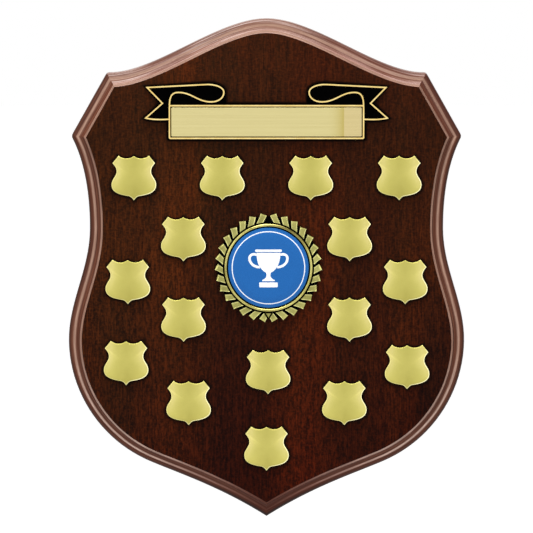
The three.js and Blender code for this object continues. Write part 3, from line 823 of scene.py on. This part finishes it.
# The corners at the shoulders and ears are rounded off on the outside and sharp from the ledge on
def softened(runs, reach):
    soft = [list(run) for run in runs]
    for a, b in ((0, 1), (1, 2), (3, 4), (4, 0)):
        corner = runs[a][-1]
        start = point_along(runs[a][::-1], reach)
        end = point_along(runs[b], reach)
        ends = (
            (soft[a], range(-1, -len(runs[a]), -1), start, end),
            (soft[b], range(len(runs[b])), end, start),
        )
        for run, order, near, far in ends:
            for i in order:
                away = (run[i] - corner).length
                if away > reach:
                    break
                t = 0.5 * (1 - away / reach)
                run[i] = near * (1 - t) ** 2 + corner * 2 * t * (1 - t) + far * t**2
    return soft


def board_runs(distance):
    sides = inset(board_outline, distance)
    runs = [resampled(side, n, eased) for side, n in zip(sides, board_counts)]
    reach = corner_softness * (1 - distance / bead_radius)
    return softened(runs, reach) if reach > 0 else runs


def board_ring(distance):
    return [p for run in board_runs(distance) for p in run[:-1]]


# The routed edge as insets and heights, from the back to the front
lip_foot = core_front - lip_step - lip_rise
ledge_height = lip_foot - cove_radius
wall_top = ledge_height - bead_radius
cove_start = bead_radius + ledge_width
cove_end = cove_start + cove_radius


def moulding_profile():
    r = edge_round
    return [
        *arc((arris, veneer + arris), arris, 270, 180, 4),
        *((0, stop) for stop in side_wall_stops),
        *arc((bead_radius, wall_top), bead_radius, 180, 96, 12),
        *arc((cove_start - r, ledge_height - r / 2), r / 2, 90, 30, 2),
        *arc((cove_start, lip_foot), cove_radius, 272, 357, 12),
        *arc((cove_end + r, lip_foot + lip_rise - r), r, 180, 90, 5),
        *arc((moulding_width - r, lip_foot + lip_rise + r / 2), r / 2, 270, 360, 3),
        (moulding_width, core_front),
    ]


profile = moulding_profile()
profile_walked = distances(profile)


# How far along the profile an inset lies
def walked_at(reach):
    for (x0, _), (x1, _), start, end in zip(profile, profile[1:], profile_walked, profile_walked[1:]):
        if x1 > reach:
            return lerp(start, end, (reach - x0) / (x1 - x0))


# The moulding's UVs say how far along a side and how far along the profile a point lies. Each side
# starts a run further along and a step further across, so that no two share their grain.
SIDE_RUN = 1000
SIDE_STEP = 40
ARCH_LIMIT = 400
LEDGE_AT = walked_at(bead_radius + ledge_width * ledge_highlight_share)
LIP_AT = walked_at(cove_end + lip_width * lip_highlight_share)


def hanger_ring(margin, steps=14):
    radius = hanger_width / 2
    reach = hanger_height / 2 - radius
    return stadium(radius + margin, hanger_z - reach, hanger_z + reach, steps)


def core_board(*materials):
    form = Form()
    rows = [board_runs(distance) for distance, _ in profile]
    for side in range(len(board_counts)):
        along = distances(rows[0][side])
        strips = []
        for row, (_, height), walked in zip(rows, profile, profile_walked):
            ring = form.ring(row[side], height)
            for index, reach in zip(ring, along):
                form.uvs[index] = (reach + side * SIDE_RUN, walked + side * SIDE_STEP)
            strips.append(ring)
        for a, b in zip(strips, strips[1:]):
            form.wall(a, b, closed=False)
    # the front under the veneer, and the back with the hanger's recess, its pocket and pilot holes
    form.cap(form.ring(board_ring(moulding_width), core_front))
    pocket = stadium(entry_radius + pocket_margin, entry_z, slot_top_z)
    deeper = [form.hollow((pocket, hanger_thickness), (pocket, hanger_thickness + pocket_depth), slot=1)]
    for z in screw_places:
        pilot = circle(screw_shank_radius + hanger_clearance, 24, (0, z))
        deeper.append(form.hollow((pilot, hanger_thickness), (pilot, pilot_depth), slot=1))
    recess = hanger_ring(hanger_clearance)
    mouth = form.hollow((recess, veneer), (recess, hanger_thickness), deeper, slot=1)
    form.cap(form.ring(board_ring(arris), veneer), [mouth], front=False, slot=1)
    return form.build("board_core", *materials)


# The front is cut by rings round the shields and the ribbon, which mark how much painted shadow is there
painted_shadow_rings = [(1.16, 0), (1.08, 0.75), (1, 1), (0.9, 1)]
ribbon_painted_shadow_rings = [(1.3, 0), (0.6, 0.85), (0, 1)]
# the painted shadow is shifted a little to the right and down
painted_shadow_drop = Vector((0.15, -0.3))


# Rings of painted shadow round one piece; ring_at gives their points. The outermost is the hole to cut.
def painted_shadow_patch(form, ring_at, rings):
    made = form.extend([(ring_at(size), board_front, shadow_share) for size, shadow_share in rings])
    form.cap(made[-1])
    return made[0]


def face_veneer(material):
    form = Form()
    rings = plate_rings(
        lambda d: board_ring(moulding_width + d), core_front, board_front, veneer_arris, (0.35, 0.3)
    )
    front = form.loft(rings, front=False)[-1]
    shield = year_ring(0)[::2]
    holes = []
    for place in year_places:
        at = place + painted_shadow_drop
        holes.append(painted_shadow_patch(form, lambda size: [at + p * size for p in shield], painted_shadow_rings))
    plate = [p + Vector((0, foot_z)) for p in ribbon_outline()]
    holes.append(painted_shadow_patch(form, lambda gap: closed_offset(plate, -gap), ribbon_painted_shadow_rings))
    form.cap(front, holes)
    return form.build("veneer_front", material, sharp=12)


def back_veneer(material):
    form = Form()
    outline, mouth = board_ring(arris), hanger_ring(hanger_clearance)
    back, front = form.extend([(outline, 0), (outline, veneer)])
    hole_front, hole_back = form.extend([(mouth, veneer), (mouth, 0)])
    form.cap(back, [hole_back], front=False)
    form.cap(front, [hole_front])
    return form.build("veneer_back", material)


# Outline of a yearly shield, right half, in shares of half its size
year_shares = {
    "peak": (0, 0.983),
    "scallop_start": (0.2, 0.84),
    "scallop_end": (0.44, 0.82),
    "horn": (0.68, 1),
    "side_horn": (0.95, 0.668),
    "horn_handle": (0.86, 0.56),
    "waist_top_handle": (0.77, 0.46),
    "waist": (0.77, 0.29),
    "waist_low_handle": (0.77, 0.09),
    "lobe_top_handle": (1, -0.06),
    "lobe": (1, -0.3),
    "lobe_low_handle": (1, -0.62),
    "neck_outer_handle": (0.72, -0.74),
    "neck": (0.24, -0.81),
    "neck_inner_handle": (0.13, -0.826),
    "tip_handle": (0.07, -0.92),
    "tip": (0, -1),
}


def year_sides():
    at = share_points(year_shares, year_size / 2, year_size / 2)
    scallop = curves(at, "peak", "horn", 16)
    clip = [at["horn"], at["side_horn"]]
    flank = curves(at, "side_horn", "tip", 14)
    return [scallop, clip, flank, mirrored(flank), mirrored(clip), mirrored(scallop)]


year_outline = year_sides()
year_counts = [12, 5, 44, 44, 5, 12]


def year_ring(distance):
    sides = inset(year_outline, distance)
    return [p for side, n in zip(sides, year_counts) for p in resampled(side, n)[:-1]]


# Heights of a sheet held at its edge and pressed up evenly from behind
def pressed(grid, low, rise, rounds=90):
    rings, count = len(grid), len(grid[0])
    heights = [[low + rise * (1 - (1 - k / rings) ** 2)] * count for k in range(rings)]
    links = {}
    for k in range(1, rings):
        for i in range(count):
            beside = [(k, i - 1), (k, (i + 1) % count), (k - 1, i)]
            if k + 1 < rings:
                beside.append((k + 1, i))
            else:
                beside.append((k, (i + count // 2) % count))
            weights = [1 / max((grid[a][b] - grid[k][i]).length_squared, 0.0001) for a, b in beside]
            links[k, i] = (beside, weights, sum(weights))
    push = 4 * rise / (year_size / 2) ** 2
    for _ in range(rounds):
        for (k, i), (beside, weights, total) in links.items():
            heights[k][i] = (sum(w * heights[a][b] for w, (a, b) in zip(weights, beside)) + push) / total
    top = max(max(row) for row in heights)
    return [[low + (h - low) * rise / (top - low) for h in row] for row in heights]


def yearly_shield(material):
    form = Form()
    crest = year_edge + year_rim_rise
    valley = year_rim_width + year_rim_slope
    field_edge = year_edge + year_field_lift
    rim = [
        (0, 0),
        (0, year_edge - year_arris),
        (0.06, year_edge),
        (0.16, crest - 0.025),
        (0.3, crest),
        (0.44, crest - 0.01),
        (0.56, crest - 0.04),
        (0.68, field_edge),
    ]
    made = form.loft([(year_ring(inward), height, inward) for inward, height in rim], front=False)
    field = year_ring(valley)
    grid = [[p * (1 - k / year_field_rings) for p in field] for k in range(year_field_rings)]
    heights = pressed(grid, field_edge, year_dome)
    made = form.extend([(points, row, valley) for points, row in zip(grid, heights)], made[-1])
    form.cap(made[-1])
    return form.build("yearly_shield_01", material, sharp=50)


# Where the yearly shields stand, in shares of half the width and half the height
year_place_shares = [
    *((x, 0.37) for x in (-0.666, -0.222, 0.222, 0.666)),
    *((x, 0.126) for x in (-0.418, 0.418)),
    *((x, -0.046) for x in (-0.698, 0.698)),
    *((x, -0.197) for x in (-0.418, 0.418)),
    (-0.708, -0.372),
    (0.709, -0.388),
    (0.008, -0.408),
    (-0.393, -0.533),
    (0.393, -0.533),
    (0, -0.717),
]
year_places = [Vector((x * board_width / 2, z * board_height / 2)) for x, z in year_place_shares]

# Ribbon, right half, in shares of its half width and of its rise
ribbon_shares = {
    "inner_arch": (0.726, 0.852),
    "arch_handle": (0.62, 0.852),
    "loop_low_handle": (0.57, 0.677),
    "loop_low": (0.46, 0.677),
    "loop_turn_low": (0.39, 0.677),
    "loop_side_low": (0.353, 0.765),
    "loop_side": (0.353, 0.852),
    "loop_turn_high": (0.353, 0.945),
    "loop_top_handle": (0.415, 1),
    "loop_top": (0.49, 1),
    "tail_top": (0.988, 0.943),
    "notch": (0.861, 0.65),
    "tail_low": (1, 0.376),
    "tail_low_handle": (0.945, 0.345),
    "tail_foot_handle": (0.87, 0.345),
}
inner_arch_share = 0.88
arch_side_share = 0.45
tail_foot_share = 0.355


def ribbon_points():
    at = share_points(ribbon_shares, ribbon_half_width, ribbon_rise)
    arch = at["inner_arch"]
    return {
        "corner": Vector((title_side, title_height)),
        "corner_handle": Vector((title_side, lerp(title_height, arch.y, inner_arch_share))),
        "arch_side_handle": Vector((lerp(title_side, arch.x, arch_side_share), arch.y)),
        **at,
        "tail_foot": Vector((title_side, tail_foot_share * ribbon_rise)),
    }


ribbon_at = ribbon_points()
loop_run = curves(ribbon_at, "corner", "loop_side", 20)
tail_run = [
    *curves(ribbon_at, "loop_side", "loop_top", 20),
    ribbon_at["tail_top"],
    ribbon_at["notch"],
    *curves(ribbon_at, "tail_low", "tail_foot", 12),
]


def both_sides(half):
    return [*half, *((-side, up) for side, up in reversed(half))]


# Sections in shares of half the width and of the height, from one foot over the top to the other.
# A leaf has a raised rim at its sides and a soft middle rib.
line_section = both_sides([(1, 0), (0.97, 0.6), (0.8, 0.93), (0.35, 1)])
flat_section = both_sides([(1, 0), (1, 1)])
leaf_rim = [(1, 0), (1, 0.9), (0.96, 0.98), (0.87, 1), (0.78, 0.97)]
leaf_section = both_sides([*leaf_rim, (0.64, 0.93), (0.2, 0.96)])


def line_rails(offset, path, width, height, section):
    return [(offset(path, side * width / 2), up * height) for side, up in section]


def gilt_line(material):
    form = Form()
    run = [*loop_run, *tail_run[1:]]
    for path in (run, mirrored(run)):
        form.sweep(line_rails(offset_run, path, gilt_line_width, gilt_line_height, line_section))
    border = rounded_rectangle(title_width, title_height, title_corner, 4, title_height / 2)
    rails = line_rails(closed_offset, border, title_line_width, title_line_height, line_section)
    form.sweep(rails, closed=True)
    return form.build("gilt_line", material, sharp=40, place=(0, -(metal_back + ribbon_thickness), foot_z))


def ribbon_outline():
    margin = gilt_line_width / 2 + ribbon_margin
    top, right = title_height + margin, title_side + margin
    edge = offset_run(tail_run, -margin, limit=1.5)
    half = [Vector((edge[0].x, top))]
    notch_passed = False
    for a, b in zip(edge, edge[1:]):
        half.append(a)
        notch_passed = notch_passed or a.y < ribbon_at["tail_low"].y
        if notch_passed and b.x < right:
            half.append(a.lerp(b, (a.x - right) / (a.x - b.x)))
            break
    half += arc((right - ribbon_corner, ribbon_corner - margin), ribbon_corner, 0, -90, 5)
    return half + mirrored(half)


def ribbon_plate(material):
    outline = ribbon_outline()
    form = Form()
    form.loft(plate_rings(lambda d: closed_offset(outline, d), 0, ribbon_thickness, ribbon_arris, (0.3, 0.3)))
    return form.build("ribbon_enamel", material, sharp=12, place=(0, -metal_back, foot_z))


def title_plate(material):
    trim = title_line_width + title_gap * 2
    width, height = title_width - trim, title_height - trim

    def outline_at(inward):
        return rounded_rectangle(width - inward * 2, height - inward * 2, title_gap - inward)

    form = Form()
    form.loft(plate_rings(outline_at, 0, title_thickness, title_bevel, (0.15, 0.45), (0.5, 0.12)))
    place = (0, -(metal_back + ribbon_thickness), foot_z + title_height / 2)
    return form.build("title_sheet", material, sharp=12, place=place)


def wreath_ground(material):
    form = Form()
    shape = [
        (wreath_base_radius, 0),
        (wreath_base_radius, wreath_base_height - wreath_base_arris),
        (wreath_base_radius - wreath_base_arris, wreath_base_height),
        (bezel_outer - recess_lip, wreath_base_height),
        (bezel_inner + recess_ramp, recess_floor + recess_ramp_rise),
        (bezel_inner, recess_floor),
    ]
    form.loft(turned(shape, 120))
    return form.build("wreath_ground", material, place=wreath_place)


def wreath_bezel(material):
    form = Form()
    half = bezel_width / 2
    crown = arc((bezel_inner + half, bezel_height - half), half, 0, 180, 10)
    made = form.extend(turned([(bezel_outer, recess_floor), *crown, (bezel_inner, recess_floor)], 144))
    form.wall(made[-1], made[0])
    return form.build("wreath_bezel", material, sharp=50, place=wreath_place)


# Stations along a leaf as shares of its reach, and its heights there as shares of its ridge
leaf_station_shares = [lerp(leaf_start_share, 1, i / leaf_steps) for i in range(leaf_steps + 1)]
leaf_height_shares = [0.97, 1, 1, 1, 1, 1, 1, 0.98, 0.93, 0.82]


def leaf_centres(tip_angle):
    reach = leaf_reach + (leaf_side_reach - leaf_reach) * math.sin(tip_angle) ** 2
    sweep_length = leaf_sweep * reach / leaf_reach
    points = []
    for out in leaf_station_shares:
        swept = out + leaf_bow * math.sin(math.pi * out)
        radius = leaf_inner + reach * out
        angle = tip_angle + sweep_length * (1 - swept) / radius
        points.append(Vector((radius * math.sin(angle), radius * math.cos(angle))))
    return points


# The part of a rail that lies outside the groove round the bezel
def outside_groove(rail):
    kept = []
    for a, b in zip(rail, rail[1:]):
        if a.length < leaf_foot <= b.length:
            kept.append(a.lerp(b, (leaf_foot - a.length) / (b.length - a.length)))
        if b.length >= leaf_foot:
            kept.append(b)
    return kept


# A rail moved clear of the bud at the bottom centre
def clear_of_bud(rail):
    kept = []
    for p in rail:
        below = -leaf_inner - p.y
        beside = bud_half_width * (1 - below / bud_length) + leaf_gap * bud_clearance_share
        free = leaf_gap / 2 + max(0, beside)
        kept.append(Vector((max(p.x, free), p.y)) if p.y < 0 else p)
    return kept


def wreath_leaves(material):
    form = Form()
    half_widths = [lerp(leaf_root_width, leaf_width, out) / 2 for out in leaf_station_shares]
    for i in range(leaf_pairs):
        centres = leaf_centres(math.radians(leaf_first_angle) + math.pi / leaf_pairs * i)
        rails = []
        for side, up in leaf_section:
            rail = outside_groove(shifted(centres, [side * half for half in half_widths]))
            rail = clear_of_bud(resampled(rail, len(leaf_height_shares) - 1))
            rails.append((rail, [up * share * leaf_ridge_height for share in leaf_height_shares], abs(side)))
        form.sweep(rails)
        form.sweep([(mirrored(rail), heights[::-1], mark) for rail, heights, mark in rails])
    # the bud at the bottom centre
    tip = Vector((0, -leaf_inner - bud_length))
    bud = [Vector((-bud_half_width, bud_top)), Vector((bud_half_width, bud_top)), tip]
    middle = Vector((0, bud_top - bud_length / 3))
    crown = [lerp(p, middle, bud_crown_share) for p in bud]
    form.loft([(bud, 0), (bud, bud_height * bud_shoulder_share), (crown, bud_height)])
    return form.build("wreath_leaves", material, sharp=40, place=wreath_place)


def centre_disc(material):
    form = Form()
    bevel, top = disc_bevel, disc_thickness
    rounding = bevel * disc_round_share
    shape = [
        (disc_radius - bevel, 0),
        (disc_radius, bevel),
        (disc_radius, top - bevel),
        (disc_radius - rounding, top - rounding),
        (disc_radius - bevel, top),
        (disc_radius * disc_flat_share, top),
    ]
    form.loft(turned(shape, 144))
    return form.build("disc_blue", material, place=(wreath_x, -disc_back, wreath_z))


# A plain trophy cup, printed in white on the disc: its right half, from the centre of the disc
cup_points = {
    "lip": (7.4, 9.3),
    "lip_handle": (7.3, 2.5),
    "bowl_handle": (5.0, -1.2),
    "bowl_foot": (1.5, -3.0),
    "stem_top": (1.2, -4.4),
    "stem_handle": (1.2, -5.8),
    "foot_handle": (1.9, -6.9),
    "foot": (3.9, -7.6),
    "foot_low": (3.9, -8.3),
    "grip_top": (7.3, 8.1),
    "grip_top_handle": (10.2, 9.0),
    "grip_high_handle": (12.2, 7.6),
    "grip_side": (11.6, 4.9),
    "grip_low_handle": (11.0, 2.2),
    "grip_end_handle": (8.6, 0.6),
    "grip_end": (5.4, 0.3),
}
cup_line_width = 1.5
cup_bar_corner = 0.5
# Width, height and middle of the bars over and under the cup
cup_bars = [(16.4, 1.5, 10.6), (11.4, 3.0, -10.6)]


def cup_emblem(material):
    form = Form()
    at = share_points(cup_points, 1, 1)
    half = [*curves(at, "lip", "bowl_foot", 16), *curves(at, "stem_top", "foot", 8), at["foot_low"]]
    bars = [rounded_rectangle(width, height, cup_bar_corner, 4, middle) for width, height, middle in cup_bars]
    for outline in ([*half, *mirrored(half)], *bars):
        form.loft([(outline, 0), (outline, print_height)])
    handle = curves(at, "grip_top", "grip_end", 12)
    for path in (handle, mirrored(handle)):
        form.sweep(line_rails(offset_run, path, cup_line_width, print_height, flat_section))
    height = disc_back + disc_thickness - print_sink
    return form.build("disc_emblem", material, place=(wreath_x, -height, wreath_z))


# The round entry from one side of its mouth to the other, and the slot over it
def keyhole_outline():
    mouth = math.degrees(math.asin(slot_radius / entry_radius))
    entry = arc((0, entry_z), entry_radius, 90 - mouth, mouth - 270, 40)
    return entry + arc((0, slot_top_z), slot_radius, 180, 0, 16)


def hanger_plate(material):
    form = Form()
    outer, inner = hanger_ring(0, 20), hanger_ring(-hanger_arris, 20)
    low, _, top = form.extend([(inner, 0), (outer, hanger_arris), (outer, hanger_thickness)])
    keyhole = keyhole_outline()
    openings = [[(keyhole, hanger_thickness), (keyhole, 0)]]
    for z in screw_places:
        wide = circle(screw_head_radius + hanger_clearance, 32, (0, z))
        narrow = circle(screw_shank_radius + hanger_clearance, 32, (0, z))
        openings.append([(narrow, hanger_thickness), (narrow, screw_head_depth), (wide, 0)])
    made = [form.extend(opening) for opening in openings]
    form.cap(low, [rings[-1] for rings in made], front=False)
    form.cap(top, [rings[0] for rings in made])
    return form.build("hanger_plate", material)


def screw(name, z, material):
    arm, half = cross_arm, cross_half_width
    quarter = [Vector((half, arm)), Vector((half, half)), Vector((arm, half))]
    cross = []
    for _ in range(4):
        cross += quarter
        quarter = [Vector((p.y, -p.x)) for p in quarter]
    form = Form()
    rim = form.ring(circle(screw_head_radius - screw_rim, 32), 0)
    recess = form.hollow((cross, 0), ([p * cross_floor_share for p in cross], cross_depth))
    form.cap(rim, [recess], front=False)
    shape = [(screw_head_radius, screw_rim), (screw_shank_radius, screw_head_depth)]
    for i in range(screw_turns):
        share = thread_root_share if i % 2 else 1
        shape.append((screw_shank_radius * share, lerp(thread_start, thread_end, i / screw_turns)))
    shape.append((screw_shank_radius * point_root_share, screw_length - point_length))
    shape.append((point_radius, screw_length))
    form.cap(form.extend(turned(shape, 32), rim)[-1])
    return form.build(name, material, place=(0, 0, z))


# Pieces and their materials
back_wood = back_look()
black = enamel_look()
foam = foam_look()
line_tones = srgb(238, 206, 126), srgb(250, 224, 150)
line_gilt = metal_look("gilt_line", line_tones, (0.9, 0.9, 0.9), (0.25, 0.35), 0.02)
leaf_tones = srgb(142, 138, 78), srgb(172, 168, 100)
leaf_gilt = metal_look("gilt_cast", leaf_tones, (2.4, 2.4, 2.4), (0.27, 0.42), 0.5, painted_rim_highlights)
bezel_tones = srgb(158, 150, 84), srgb(190, 182, 110)
bezel_gilt = metal_look("gilt_bezel", bezel_tones, (1.2, 1.2, 1.2), (0.24, 0.36), 0.1, shaded_sides)
steel_tones = srgb(158, 160, 164), srgb(190, 192, 195)
steel = metal_look("plain_steel", steel_tones, (0.08, 1, 5), (0.28, 0.44), 0.12)
fine = (2.5, 2.5, 2.5)
blues = srgb(31, 92, 160), srgb(37, 101, 171)
blue = speckled_look("blue_disc", blues, fine, (0.26, 0.36), 0.08, 0.01, printed_ring, specular=0.1)
whites = srgb(236, 239, 244), srgb(248, 249, 251)
white = speckled_look("white_print", whites, fine, (0.34, 0.46), 0.1, 0.01, specular=0.3)

dressed(core_board(moulding_look(), back_wood), "stained_wood", "core_board")
dressed(face_veneer(veneer_look()), "dark_veneer", "face_veneer")
dressed(back_veneer(back_wood), "back_wood", "back_veneer")

shield = yearly_shield(year_look())
for number, (x, z) in enumerate(year_places, 1):
    obj = shield if number == 1 else linked(f"yearly_shield_{number:02d}", shield.data)
    obj.location = (x * MM, -metal_back * MM, z * MM)
    dressed(obj, "gilt_metal", f"annual_shield_{number:02d}")

dressed(ribbon_plate(black), "black_enamel", "ribbon_plate")
dressed(gilt_line(line_gilt), "gilt_metal", "ribbon_gilt_line")
dressed(title_plate(brushed_look()), "pale_gilt", "title_plate")
dressed(wreath_ground(black), "black_enamel", "wreath_casting")
dressed(wreath_bezel(bezel_gilt), "gilt_metal", "wreath_casting")
dressed(wreath_leaves(leaf_gilt), "gilt_metal", "wreath_casting")
dressed(centre_disc(blue), "blue_disc", "centre_disc")
dressed(cup_emblem(white), "blue_disc")
dressed(hanger_plate(steel), "plain_steel", "keyhole_plate")
for side, z in zip(("top", "bottom"), screw_places):
    dressed(screw(f"screw_{side}", z, steel), "plain_steel", f"hanger_screw_{side}")

for name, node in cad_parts.items():
    if "pad" in name or name == "disc_tape":
        node.material_slots[0].material = foam


# 1 for rays that the camera, gloss or glass sends straight to the background, and 0 for its light
def background_rays(tree):
    rays = new_node(tree, "LightPath").outputs
    seen = rays["Is Camera Ray"]
    for name in ("Is Glossy Ray", "Is Transmission Ray"):
        seen = new_node(tree, "Math", {0: seen, 1: rays[name]}, operation="MAXIMUM").outputs[0]
    return seen


# A matt floor that keeps the shadow and is lifted to white where it is looked at
def pale_floor():
    material = bpy.data.materials.new("pale_floor")
    material.use_nodes = True
    tree = material.node_tree
    shader = tree.nodes["Principled BSDF"]
    wire(tree, shader, {"Base Color": (floor_tone, floor_tone, floor_tone, 1), "Roughness": 0.9})
    level = new_node(tree, "Math", {0: background_rays(tree), 1: floor_glow}, operation="MULTIPLY")
    glow = new_node(tree, "Emission", {"Strength": level.outputs[0]})
    both = new_node(tree, "AddShader", {0: shader.outputs[0], 1: glow.outputs[0]})
    wire(tree, tree.nodes["Material Output"], {"Surface": both.outputs[0]})
    mesh = bpy.data.meshes.new("floor")
    s, z = floor_half, floor_level
    mesh.from_pydata([(-s, -s, z), (s, -s, z), (s, s, z), (-s, s, z)], [], [(0, 1, 2, 3)])
    mesh.materials.append(material)
    obj = linked("floor", mesh)


def studio_world():
    world = bpy.data.worlds.new("studio")
    world.use_nodes = True
    tree = world.node_tree
    room = tree.nodes["Background"]
    wire(tree, room, {"Color": (1, 1, 1, 1), "Strength": room_light})
    bright = new_node(tree, "Background", {"Color": (1, 1, 1, 1), "Strength": 1.0})
    keys = {"Fac": background_rays(tree), 1: room.outputs[0], 2: bright.outputs[0]}
    mix = new_node(tree, "MixShader", keys)
    wire(tree, tree.nodes["World Output"], {"Surface": mix.outputs[0]})
    return world


def soft_box(name, place, size, power):
    light = bpy.data.lights.new(name, "AREA")
    light.shape = "RECTANGLE"
    light.size, light.size_y = size
    light.energy = power
    linked(name, light, place).rotation_euler = (-Vector(place)).to_track_quat("-Z", "Y").to_euler()


pale_floor()
scene = bpy.context.scene
scene.world = studio_world()
soft_box("key_above", (-0.2, -1.0, 2.15), (1.6, 0.9), 35)
soft_box("top_sheet", (0, -0.2, 1.7), (1.4, 1.0), 40)
soft_box("fill_left", (-1.6, -1.9, 0.6), (0.9, 1.4), 13)
soft_box("fill_right", (1.6, -1.9, 0.6), (0.9, 1.4), 11)

camera_data = bpy.data.cameras.new("camera")
camera_data.sensor_width = sensor_width
camera_data.lens = sensor_width * view_distance / frame_width
back = Vector((0, -math.cos(view_elevation), math.sin(view_elevation)))
up = Vector((0, math.sin(view_elevation), math.cos(view_elevation)))
camera = linked("camera", camera_data, up * aim_above_origin + back * view_distance)
camera.rotation_euler = (-back).to_track_quat("-Z", "Y").to_euler()
scene.camera = camera

scene.view_settings.view_transform = "Standard"
